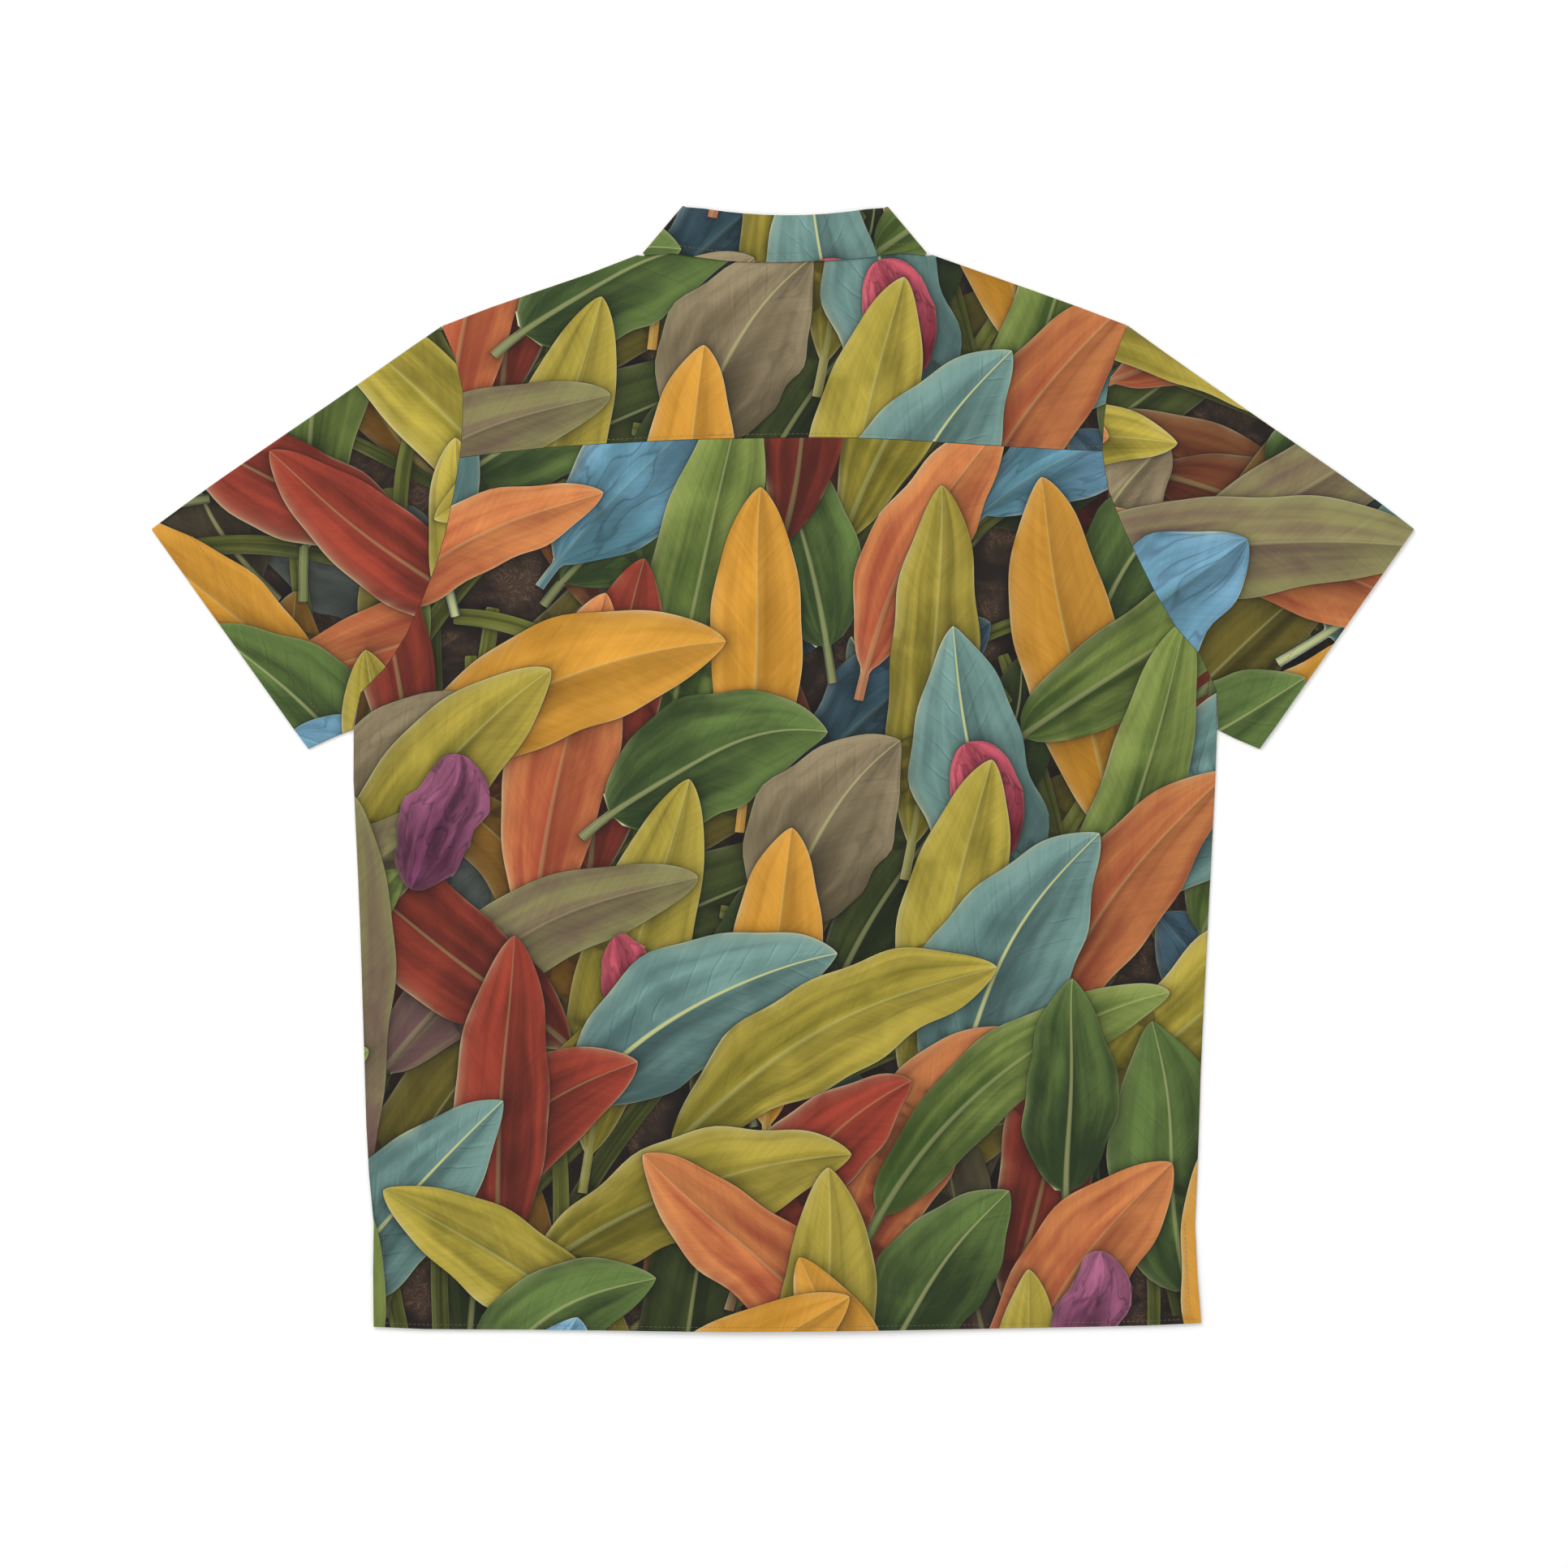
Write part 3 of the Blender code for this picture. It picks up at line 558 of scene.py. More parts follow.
    def _veins(
        self, along: Signal, across: Signal, side: Signal, mottle: Signal, veins: Signal
    ) -> Signal:
        """Side veins: a thin dark line with a light one beside it.

        Args:
            along: Distance from the leaf's foot.
            across: Distance from the midrib.
            side: Share of the way from midrib to margin.
            mottle: Soft noise that bends the veins.
            veins: How strongly the leaf is veined.

        Returns:
            A factor for the colour.
        """
        waver = mottle.centred() * self.vein_waver
        saw = ((along - across * self.vein_slope + waver) / self.vein_pitch).fract()
        dark = saw.centred().absolute().band(0.0, self.vein_width, 1.0, 0.0)
        beside = (saw - self.vein_glow_place).absolute()
        glow = beside.band(0.0, self.vein_glow_width, 1.0, 0.0)
        fade = side.band(*self.vein_start) * side.band(*self.vein_end)
        fade = fade * veins.band(*self.vein_span) * mottle.band(*self.vein_patches)
        return 1.0 - dark * fade * self.vein_depth + glow * fade * self.vein_glow

    def _folds(
        self, shader: Shader, reach: Signal, side: Signal, seed: Signal, crumple: Signal
    ) -> Signal:
        """Lengthwise folds of a curled leaf or petal, which meet at its ends.

        Args:
            shader: The tree.
            reach: Share of the leaf's length.
            side: Signed share of the way from midrib to margin.
            seed: The leaf's own number.
            crumple: How crumpled it is.

        Returns:
            A factor for the colour.
        """
        long, wide = self.fold_stretch
        blade = shader.vector(reach * long, side * wide, seed)
        field = shader.noise(blade, self.fold_scale, detail=1.5, twist=0.5)
        crease = field.centred().absolute().band(0.0, self.crease_width, self.crease_depth, 0.0)
        swell = field.centred() * self.fold_depth
        return 1.0 + (swell - crease) * crumple


@dataclass(frozen=True)
class WrongSide:
    """The unprinted side, where the colours show through weakly."""

    cloth: PrintedCloth = PrintedCloth()
    fabric: Colour = (0.72, 0.69, 0.61)
    show: float = 0.35
    least_show: float = 0.6
    cloud_scale: float = 14.0
    cloud_span: Point = (0.3, 0.7)

    def material(self) -> bpy.types.Material:
        """Builds the wrong side's material.

        Returns:
            The material.
        """
        shader = Shader("wrong_side")
        base = shader.attribute("leaf_base", "Color")
        clouds = shader.noise(shader.place(), self.cloud_scale)
        share = clouds.band(*self.cloud_span, self.show * self.least_show, self.show)
        colour = shader.mix(linear(self.fabric), base, share)
        return self.cloth.close(shader, colour)


@dataclass(frozen=True)
class Thread:
    """Fine sewing thread in the print's middle tone."""

    colour: Colour = (0.44, 0.40, 0.27)
    roughness: float = 0.6
    sheen: float = 0.2

    def material(self) -> bpy.types.Material:
        """Builds the thread's material."""
        shader = Shader("sewing_thread")
        return shader.finish(linear(self.colour), self.roughness, None, {"Sheen Weight": self.sheen})


@dataclass(frozen=True)
class ButtonResin:
    """Dark brown polished resin with a soft marbling."""

    dark: Colour = (0.20, 0.14, 0.10)
    light: Colour = (0.45, 0.33, 0.22)
    marble_scale: float = 220.0
    marble_span: Point = (0.35, 0.75)
    roughness: float = 0.25
    coat: float = 0.4

    def material(self) -> bpy.types.Material:
        """Builds the buttons' material.

        Returns:
            The material.
        """
        shader = Shader("button_resin")
        marble = shader.noise(shader.place(), self.marble_scale, detail=4.0, twist=2.5)
        share = marble.band(*self.marble_span)
        colour = shader.mix(linear(self.dark), linear(self.light), share)
        return shader.finish(colour, self.roughness, None, {"Coat Weight": self.coat})


@dataclass(frozen=True)
class FloorPaint:
    """Plain matt white studio floor."""

    colour: Colour = (0.97, 0.97, 0.97)
    roughness: float = 0.9
    specular: float = 0.1

    def material(self) -> bpy.types.Material:
        """Builds the floor's material.

        Returns:
            The material.
        """
        shader = Shader("studio_floor")
        constants = {"Specular IOR Level": self.specular}
        return shader.finish(linear(self.colour), self.roughness, None, constants)


# ---------------------------------------------------------------- shared helpers


def linked(name: str, data: bpy.types.ID) -> bpy.types.Object:
    """Puts a mesh, lamp or camera into the scene as an object of its own.

    Args:
        name: The object's name.
        data: What it shows.

    Returns:
        The object.
    """
    made = bpy.data.objects.new(name, data)
    bpy.context.scene.collection.objects.link(made)
    return made


def linked_mesh(name: str, mesh: bmesh.types.BMesh) -> bpy.types.Object:
    """Turns a mesh that is finished, in millimetres, into an object in metres.

    Args:
        name: The object's name.
        mesh: The mesh, which is used up.

    Returns:
        The object.
    """
    bmesh.ops.scale(mesh, vec=(MM,) * 3, verts=mesh.verts)
    data = bpy.data.meshes.new(name)
    mesh.to_mesh(data)
    mesh.free()
    return linked(name, data)


def turned(x: np.ndarray, y: np.ndarray, angle: float) -> tuple[np.ndarray, np.ndarray]:
    """Turns plan coordinates about the origin.

    Args:
        x: Distances to the east.
        y: Distances to the north.
        angle: Radians anticlockwise.

    Returns:
        The turned coordinates.
    """
    cosine = math.cos(angle)
    sine = math.sin(angle)
    return x * cosine - y * sine, x * sine + y * cosine


def boxed(points: np.ndarray, low: np.ndarray, high: np.ndarray) -> np.ndarray:
    """Tells which points lie between two opposite corners."""
    return ((points > low) & (points < high)).all(1)


# ---------------------------------------------------------------- the leaf print


class Profile(Enum):
    """Outline of a motif: how fast it widens and narrows, and its stalk's share of the length."""

    LANCE = (0.78, 0.72, 0.10)
    STRAP = (0.52, 0.58, 0.12)
    OVATE = (0.62, 0.80, 0.14)
    BUD = (0.55, 0.48, 0.0)
    STEM = (0.04, 0.05, 0.0)


@dataclass(frozen=True)
class Plant:
    """One kind of motif and its colours."""

    share: float
    profile: Profile
    base: Colour
    tip: Colour
    length: Point
    stoutness: Point
    veins: float = 0.5
    rim: float = 0.3
    crumple: float = 0.0


@dataclass(frozen=True)
class Motif:
    """One leaf, bud or stem in its place on the printed cloth, in millimetres."""

    plant: Plant
    foot: Point
    heading: float
    length: float
    half: float
    bend: float
    sway: float
    phase: float
    tone: float
    wave: float
    seed: float

    OUTLINE_STEP = 4.5
    STALK = 3.2
    # Each wave of the margin: its size, its pitch, its start and how far the two sides differ.
    WAVES = ((1.0, 13.0, 3.0, 1.3), (0.5, 29.0, 5.0, -2.0))

    def place(self, points: np.ndarray) -> tuple[np.ndarray, np.ndarray]:
        """Finds points in the motif's own curved coordinates.

        Args:
            points: Places on the cloth, one a row.

        Returns:
            Distance along the midrib and signed distance from it.
        """
        east = points[:, 0] - self.foot[0]
        north = points[:, 1] - self.foot[1]
        x, y = turned(east, north, -self.heading)
        radius = self.length / self.bend
        hand = math.copysign(1.0, radius)
        along = abs(radius) * np.arctan2(x, -(y - radius) * hand)
        across = radius - hand * np.hypot(x, y - radius)
        return along, across - self._sway(along / self.length)

    def spot(self, along: np.ndarray, across: np.ndarray) -> np.ndarray:
        """Turns the motif's own coordinates back into places on the cloth.

        Args:
            along: Distance along the midrib.
            across: Signed distance from it.

        Returns:
            Places on the cloth, one a row.
        """
        radius = self.length / self.bend
        hand = math.copysign(1.0, radius)
        reach = abs(radius) - hand * (across + self._sway(along / self.length))
        angle = along / abs(radius)
        x = reach * np.sin(angle)
        y = hand * (abs(radius) - reach * np.cos(angle))
        cosine = math.cos(self.heading)
        sine = math.sin(self.heading)
        east = self.foot[0] + x * cosine - y * sine
        north = self.foot[1] + x * sine + y * cosine
        return np.column_stack((east, north))

    def _sway(self, reach: np.ndarray) -> np.ndarray:
        """Sideways wander of the midrib."""
        return self.sway * np.sin(2.0 * math.pi * reach + self.phase) * reach

    def half_width(self, reach: np.ndarray, hand: np.ndarray) -> np.ndarray:
        """Half of the width at a share of the length.

        Args:
            reach: Share of the length, 0 at the foot.
            hand: +1 left of the midrib, -1 right of it.

        Returns:
            The half-width in millimetres.
        """
        rise, fall, stalk = self.plant.profile.value
        middle = stalk + (1.0 - stalk) * rise / (rise + fall)
        blade = np.clip((reach - stalk) / (middle - stalk), 1e-6, None)
        tip = np.clip((1.0 - reach) / (1.0 - middle), 1e-6, None)
        shape = blade**rise * tip**fall
        inside = np.clip(reach, 0.0, 1.0)
        waves = 1.0
        for size, pitch, start, differ in self.WAVES:
            waves = waves + size * self.wave * np.sin(pitch * inside + self.phase * start + hand * differ)
        stem = self.STALK * np.clip(1.0 - inside, 0.0, 1.0) ** 0.5 * (stalk > 0.0)
        return self.half * shape * waves + stem

    def holds(self, points: np.ndarray) -> np.ndarray:
        """Tells which points lie on the motif.

        Args:
            points: Places on the cloth, one a row.

        Returns:
            One truth value a point.
        """
        along, across = self.place(points)
        reach = along / self.length
        width = self.half_width(reach, np.sign(across))
        return (reach > 0.0) & (reach < 1.0) & (np.abs(across) < width)

    def outline(self) -> np.ndarray:
        """Points round the motif's edge.

        Returns:
            Places on the cloth, one a row.
        """
        count = max(6, int(self.length / self.OUTLINE_STEP))
        reach = 0.5 - 0.5 * np.cos(np.linspace(0.0, math.pi, count + 1))
        left = self.spot(reach * self.length, self.half_width(reach, np.ones_like(reach)))
        right = self.spot(reach * self.length, -self.half_width(reach, -np.ones_like(reach)))
        return np.vstack((left, right[-2:0:-1]))

    def midrib(self) -> np.ndarray:
        """Points along the midrib.

        Returns:
            Places on the cloth, one a row.
        """
        count = max(3, int(self.length / (2.0 * self.OUTLINE_STEP)))
        reach = np.linspace(0.0, 1.0, count + 1)
        return self.spot(reach * self.length, np.zeros_like(reach))


PLANTS = (
    Plant(
        1.6, Profile.LANCE, (0.72, 0.50, 0.12), (0.80, 0.57, 0.20), (220, 300), (0.21, 0.28),
        veins=0.22, rim=0.50,
    ),
    Plant(
        1.3, Profile.LANCE, (0.62, 0.28, 0.18), (0.80, 0.50, 0.28), (210, 280), (0.22, 0.29),
        veins=0.20, rim=0.50,
    ),
    Plant(
        1.3, Profile.LANCE, (0.36, 0.13, 0.09), (0.60, 0.23, 0.16), (200, 280), (0.22, 0.30),
        veins=0.20, rim=0.50,
    ),
    Plant(
        1.0, Profile.STRAP, (0.44, 0.32, 0.31), (0.54, 0.52, 0.33), (250, 340), (0.16, 0.22),
        veins=0.20, rim=0.25,
    ),
    Plant(
        1.8, Profile.STRAP, (0.22, 0.30, 0.11), (0.48, 0.54, 0.26), (250, 340), (0.16, 0.21),
        veins=0.30, rim=0.30,
    ),
    Plant(
        2.8, Profile.LANCE, (0.42, 0.39, 0.09), (0.69, 0.62, 0.24), (230, 320), (0.18, 0.25),
        veins=0.25, rim=0.45,
    ),
    Plant(
        0.9, Profile.OVATE, (0.29, 0.41, 0.40), (0.46, 0.60, 0.57), (220, 290), (0.30, 0.38),
        veins=1.0, rim=0.55,
    ),
    Plant(
        0.5, Profile.LANCE, (0.30, 0.47, 0.52), (0.44, 0.62, 0.72), (170, 230), (0.32, 0.40),
        veins=0.05, rim=0.60, crumple=0.8,
    ),
    Plant(
        0.8, Profile.OVATE, (0.40, 0.35, 0.25), (0.58, 0.52, 0.40), (130, 180), (0.44, 0.54),
        veins=0.45, rim=0.15, crumple=0.3,
    ),
    Plant(
        0.4, Profile.OVATE, (0.40, 0.43, 0.41), (0.56, 0.60, 0.57), (150, 200), (0.38, 0.48),
        veins=0.25, rim=0.30, crumple=0.3,
    ),
    Plant(
        1.4, Profile.OVATE, (0.17, 0.24, 0.11), (0.36, 0.45, 0.22), (160, 220), (0.34, 0.44),
        veins=0.40, rim=0.25,
    ),
)
BUDS = (
    Plant(
        1.0, Profile.BUD, (0.42, 0.11, 0.16), (0.70, 0.30, 0.36), (60, 84), (0.52, 0.62),
        veins=0.0, rim=0.10, crumple=1.0,
    ),
    Plant(
        1.0, Profile.BUD, (0.36, 0.16, 0.27), (0.60, 0.34, 0.46), (70, 104), (0.48, 0.58),
        veins=0.0, rim=0.10, crumple=1.0,
    ),
)
STEM = Plant(
    1.0, Profile.STEM, (0.24, 0.27, 0.09), (0.44, 0.46, 0.18), (190, 300), (0.04, 0.055),
    veins=0.0, rim=0.1,
)


@dataclass(frozen=True)
class Habit:
    """How the motifs grow: headings and bends in degrees, and how much one differs from the next."""

    upright_share: float = 0.40
    upright: Point = (74, 106)
    upright_bend: Point = (-18, 18)
    leaning: Point = (22, 66)
    leaning_bend: Point = (-58, -12)
    contrary_share: float = 0.10
    contrary: Point = (112, 150)
    bud: Point = (60, 125)
    bud_bend: Point = (8, 20)
    sway: Point = (-7.0, 7.0)
    tone: Point = (0.92, 1.08)
    phase: Point = (0.0, 6.28)
    wave: Point = (0.03, 0.10)
    stem_wave: float = 0.02
    least_bend: float = 1.0
    straight: float = 0.02


@dataclass(frozen=True)
class LeafPrint:
    """A generic bed of leaves, stems and buds, drawn with a fixed seed.

    Lower rows lie over upper ones, so that a leaf's foot is hidden by the tips below it.
    """

    seed: int = 20
    reach: float = 900.0
    pitch: float = 86.0
    scatter: float = 0.4
    disorder: float = 70.0
    deep_share: float = 0.7
    deep_tone: float = 0.46
    deep_scatter: float = 50.0
    stem_share: float = 0.8
    stem_shift: float = 40.0
    stem_tone: float = 0.85
    bud_share: float = 0.07
    bud_lead: float = 90.0
    habit: Habit = Habit()

    def motifs(self) -> list[Motif]:
        """Draws the layout.

        Returns:
            The motifs from the lowest to the uppermost.
        """
        rng = np.random.default_rng(self.seed)
        deep: list[Motif] = []
        bed: list[tuple[float, Motif]] = []
        count = int(2.0 * self.reach / self.pitch)
        last = -1
        for row in range(count):
            for column in range(count):
                aside = column + 0.5 * (row % 2) + rng.uniform(-self.scatter, self.scatter)
                east = -self.reach + aside * self.pitch
                north = -self.reach + (row + rng.uniform(-self.scatter, self.scatter)) * self.pitch
                last = self._kind(rng, last)
                order = -north + rng.uniform(-self.disorder, self.disorder)
                bed.append((order, self._drawn(rng, PLANTS[last], (east, north), 1.0)))
                if rng.uniform() < self.deep_share:
                    shifts = [rng.uniform(-self.deep_scatter, self.deep_scatter) for _ in range(2)]
                    place = (east + shifts[0], north + shifts[1])
                    deep.append(self._drawn(rng, PLANTS[self._kind(rng, last)], place, self.deep_tone))
                if rng.uniform() < self.stem_share:
                    place = (east + self.stem_shift, north)
                    deep.append(self._drawn(rng, STEM, place, self.stem_tone))
                if rng.uniform() < self.bud_share:
                    bud = BUDS[int(rng.integers(len(BUDS)))]
                    bed.append((order + self.bud_lead, self._drawn(rng, bud, (east, north), 1.0)))
        rng.shuffle(deep)
        bed.sort(key=lambda item: item[0])
        return deep + [motif for _, motif in bed]

    def _kind(self, rng: np.random.Generator, last: int) -> int:
        """Picks a plant that differs from the last one.

        Args:
            rng: The seeded source of chance.
            last: The last plant's number.

        Returns:
            The plant's number.
        """
        shares = np.array([0.0 if n == last else plant.share for n, plant in enumerate(PLANTS)])
        return int(rng.choice(len(PLANTS), p=shares / shares.sum()))

    def _drawn(self, rng: np.random.Generator, plant: Plant, middle: Point, tone: float) -> Motif:
        """Draws one motif.

        Args:
            rng: The seeded source of chance.
            plant: The kind of motif.
            middle: Its centre.
            tone: How light it is against the uppermost leaves.

        Returns:
            The motif.
        """
        habit = self.habit
        upright = rng.uniform() < habit.upright_share
        heading = rng.uniform(*(habit.upright if upright else habit.leaning))
        if rng.uniform() < habit.contrary_share:
            heading = rng.uniform(*habit.contrary)
        bend = rng.uniform(*(habit.upright_bend if upright else habit.leaning_bend))
        if heading >= habit.contrary[0]:
            bend = -bend
        if plant.profile is Profile.BUD:
            heading = rng.uniform(*habit.bud)
            bend = rng.uniform(*habit.bud_bend)
        length = rng.uniform(*plant.length)
        width = length * rng.uniform(*plant.stoutness)
        angle = math.radians(heading)
        foot = (
            middle[0] - 0.5 * length * math.cos(angle),
            middle[1] - 0.5 * length * math.sin(angle),
        )
        return Motif(
            plant=plant,
            foot=foot,
            heading=angle - 0.5 * math.radians(bend),
            length=length,
            half=0.5 * width,
            bend=math.radians(bend) if abs(bend) > habit.least_bend else habit.straight,
            sway=rng.uniform(*habit.sway),
            phase=rng.uniform(*habit.phase),
            tone=tone * rng.uniform(*habit.tone),
            wave=habit.stem_wave if plant.profile is Profile.STEM else rng.uniform(*habit.wave),
            seed=rng.uniform(0.0, 1.0),
        )


@dataclass(frozen=True)
class Cut:
    """Where a sheet is cut from the printed cloth.

    The underside is seen from below, so its print is mirrored in plan.
    """

    turn: float = 0.0
    east: float = 0.0
    north: float = 0.0
    mirrored: bool = False

    def to_print(self, points: np.ndarray) -> np.ndarray:
        """Takes plan points of the piece to the printed cloth.

        Args:
            points: Points in plan, one a row.

        Returns:
            Places on the cloth, one a row.
        """
        x = -points[:, 0] if self.mirrored else points[:, 0]
        x, y = turned(x, points[:, 1], math.radians(self.turn))
        return np.column_stack((x + self.east, y + self.north))

    def to_piece(self, points: np.ndarray) -> np.ndarray:
        """Takes points of the printed cloth to the piece's plan.

        Args:
            points: Places on the cloth, one a row.

        Returns:
            Points in plan, one a row.
        """
        east = points[:, 0] - self.east
        x, y = turned(east, points[:, 1] - self.north, -math.radians(self.turn))
        return np.column_stack((-x if self.mirrored else x, y))


def inside(points: np.ndarray, outline: np.ndarray) -> np.ndarray:
    """Tells which points lie inside a closed outline.

    Args:
        points: Points, one a row.
        outline: The outline's corners in order.

    Returns:
        One truth value a point.
    """
    result = np.zeros(len(points), bool)
    starts = outline
    ends = np.roll(outline, -1, axis=0)
    for start, end in zip(starts, ends):
        crosses = (start[1] > points[:, 1]) != (end[1] > points[:, 1])
        if not crosses.any():
            continue
        slope = (end[0] - start[0]) / (end[1] - start[1] + 1e-30)
        result ^= crosses & (points[:, 0] < start[0] + slope * (points[:, 1] - start[1]))
    return result


def nearest_on(
    points: np.ndarray, outline: np.ndarray, closed: bool = True
) -> tuple[np.ndarray, np.ndarray]:
    """Finds the nearest places on a line of corners.

    Args:
        points: Points, one a row.
        outline: The line's corners in order.
        closed: Whether its last corner joins its first.

    Returns:
        The distances and the offsets from the line to each point.
    """
    best = np.full(len(points), np.inf)
    offset = np.zeros_like(points)
    starts = outline if closed else outline[:-1]
    ends = np.roll(outline, -1, axis=0) if closed else outline[1:]
    for start, end in zip(starts, ends):
        run = end - start
        size = max(float(run @ run), 1e-12)
        share = np.clip(((points - start) @ run) / size, 0.0, 1.0)
        gap = points - start - share[:, None] * run
        distance = np.hypot(gap[:, 0], gap[:, 1])
        nearer = distance < best
        best[nearer] = distance[nearer]
        offset[nearer] = gap[nearer]
    return best, offset


class PrintArea:
    """The motifs that one side of a piece shows."""

    SHADE_REACH = 26.0
    LIT = (-0.55, 0.83)
    LIT_STRETCH = 1.6

    def __init__(self, motifs: list[Motif], cut: Cut, outline: np.ndarray) -> None:
        """Keeps the motifs that reach the piece.

        Args:
            motifs: The whole layout, lowest first.
            cut: Where the piece is cut.
            outline: The piece's plan outline.
        """
        self.cut = cut
        there = cut.to_print(outline)
        low = there.min(0)
        high = there.max(0)
        self.motifs: list[Motif] = []
        self.edges: list[np.ndarray] = []
        for motif in motifs:
            edge = motif.outline()
            if (edge.max(0) > low).all() and (edge.min(0) < high).all():
                self.motifs.append(motif)
                self.edges.append(edge)

    def owners(self, points: np.ndarray, above: int = -1) -> np.ndarray:
        """Finds the uppermost motif at each point.

        Args:
            points: Points on the printed cloth.
            above: Only motifs over this one count.

        Returns:
            The motif's number, or -1 for bare ground.
        """
        found = np.full(len(points), -1)
        for number in range(above + 1, len(self.motifs)):
            edge = self.edges[number]
            near = np.flatnonzero(boxed(points, edge.min(0), edge.max(0)))
            if len(near):
                held = self.motifs[number].holds(points[near])
                found[near[held]] = number
        return found

    def lines(self) -> list[tuple[np.ndarray, np.ndarray]]:
        """Collects the visible edges and midribs.

        Returns:
            Starts and ends of the segments, in the piece's plan.
        """
        kept = []
        for number, motif in enumerate(self.motifs):
            edge = self.edges[number]
            for run in (np.vstack((edge, edge[:1])), motif.midrib()):
                bare = self.owners(run, number) < 0
                middle_bare = self.owners((run[1:] + run[:-1]) / 2.0, number) < 0
                seen = bare[1:] | bare[:-1] | middle_bare
                plan = self.cut.to_piece(run)
                kept.append((plan[:-1][seen], plan[1:][seen]))
        return kept

    def cover(self, points: np.ndarray, owners: np.ndarray) -> np.ndarray:
        """Measures how near each point is to the edge of a motif over it.

        Args:
            points: Points on the printed cloth.
            owners: The motif that each belongs to.

        Returns:
            The distance, made longer on the side that the light comes from.
        """
        nearest = np.full(len(points), self.SHADE_REACH)
        for number, edge in enumerate(self.edges):
            close = boxed(points, edge.min(0) - self.SHADE_REACH, edge.max(0) + self.SHADE_REACH)
            near = np.flatnonzero((owners < number) & close)
            if not len(near):
                continue
            distance, offset = nearest_on(points[near], edge)
            lit = (offset @ np.array(self.LIT)) / np.maximum(distance, 1e-6)
            distance = distance * (1.0 + self.LIT_STRETCH * np.clip(lit, 0.0, 1.0))
            nearest[near] = np.minimum(nearest[near], distance)
        return nearest


# ---------------------------------------------------------------- sewing


@dataclass(frozen=True)
class SeamRow:
    """A row of stitches that keeps its distance from a stretch of a printed side's edge."""

    side: Side
    start: Point
    end: Point
    inset: float

    STEP = 3.0
    NEAR = 6.0
    SLACK = 0.2

    def path(self, outline: np.ndarray) -> np.ndarray | None:
        """Follows the outline from the row's start to its end, the shorter way.

        Args:
            outline: The printed side's outline in plan.

        Returns:
            Points of the row, or None where the row belongs to another outline.
        """
        ends = []
        for place in (self.start, self.end):
            gaps = np.hypot(outline[:, 0] - place[0], outline[:, 1] - place[1])
            if gaps.min() > self.NEAR:
                return None
            ends.append(int(gaps.argmin()))
        first, last = ends
        count = len(outline)
        onward = outline[[(first + i) % count for i in range((last - first) % count + 1)]]
        back = outline[[(first - i) % count for i in range((first - last) % count + 1)]]
        run = evenly_spaced(min((onward, back), key=length_of), self.STEP)
        left = left_of(run)
        hand = 1.0 if inside(run + left, outline).mean() > 0.5 else -1.0
        moved = run + hand * self.inset * left
        distance, _ = nearest_on(moved, outline)
        return moved[inside(moved, outline) & (distance > self.inset - self.SLACK)]


def plan_of(ring: list[bmesh.types.BMVert]) -> np.ndarray:
    """Plan points of a rim's corners, one a row."""
    return np.array([(v.co.x, v.co.y) for v in ring])


def length_of(run: np.ndarray) -> float:
    """Length of a line of points."""
    steps = np.diff(run, axis=0)
    return float(np.hypot(steps[:, 0], steps[:, 1]).sum())


def evenly_spaced(run: np.ndarray, step: float) -> np.ndarray:
    """Places points evenly along a line.

    Args:
        run: The line's corners.
        step: About how far apart the points lie.

    Returns:
        The points, with both of the line's ends.
    """
    steps = np.diff(run, axis=0)
    reach = np.append(0.0, np.hypot(steps[:, 0], steps[:, 1]).cumsum())
    stops = np.linspace(0.0, reach[-1], max(2, round(reach[-1] / step)) + 1)
    return np.column_stack([np.interp(stops, reach, run[:, axis]) for axis in range(run.shape[1])])


def left_of(run: np.ndarray) -> np.ndarray:
    """Finds the directions that point to the left of a line.

    Args:
        run: The line's points.

    Returns:
        One direction a point, of length 1.
    """
    heading = np.gradient(run, axis=0)
    heading /= np.maximum(np.hypot(heading[:, 0], heading[:, 1])[:, None], 1e-9)
    return np.column_stack((-heading[:, 1], heading[:, 0]))


class Sewing:
    """The rows of stitches on one printed side, and the groove that they pull."""

    DEPTH = 0.14
    REACH = 1.1
    SPREAD = 0.75
    MARGIN = 3.0

    def __init__(self, rows: tuple[SeamRow, ...], side: Side, outline: np.ndarray) -> None:
        """Keeps the rows that belong to the side.

        Args:
            rows: The piece's rows that have no place yet.
            side: Which way the printed side looks.
            outline: The side's outline in plan.
        """
        self.side = side
        found = [(row, row.path(outline)) for row in rows if row.side == side]
        placed = [(row, path) for row, path in found if path is not None and len(path) > 2]
        self.rows = [row for row, _ in placed]
        self.paths = [path for _, path in placed]

    def lines(self) -> list[tuple[np.ndarray, np.ndarray]]:
        """Gives the segments of each row and of its groove's banks.

        Returns:
            Starts and ends of the segments, in the piece's plan.
        """
        kept = []
        for path in self.paths:
            left = left_of(path)
            for shift in (-self.REACH, 0.0, self.REACH):
                run = path + left * shift
                kept.append((run[:-1], run[1:]))
        return kept

    def dips(self, points: np.ndarray) -> np.ndarray:
        """Depth of the grooves at plan points.

        Args:
            points: Points, one a row.

        Returns:
            The depths in millimetres.
        """
        depth = np.zeros(len(points))
        for path in self.paths:
            margin = self.MARGIN * self.REACH
            near = np.flatnonzero(boxed(points, path.min(0) - margin, path.max(0) + margin))
            if len(near):
                distance, _ = nearest_on(points[near], path, closed=False)
                fall = self.DEPTH * np.exp(-((distance / (self.SPREAD * self.REACH)) ** 2))
                depth[near] = np.maximum(depth[near], fall)
        return depth


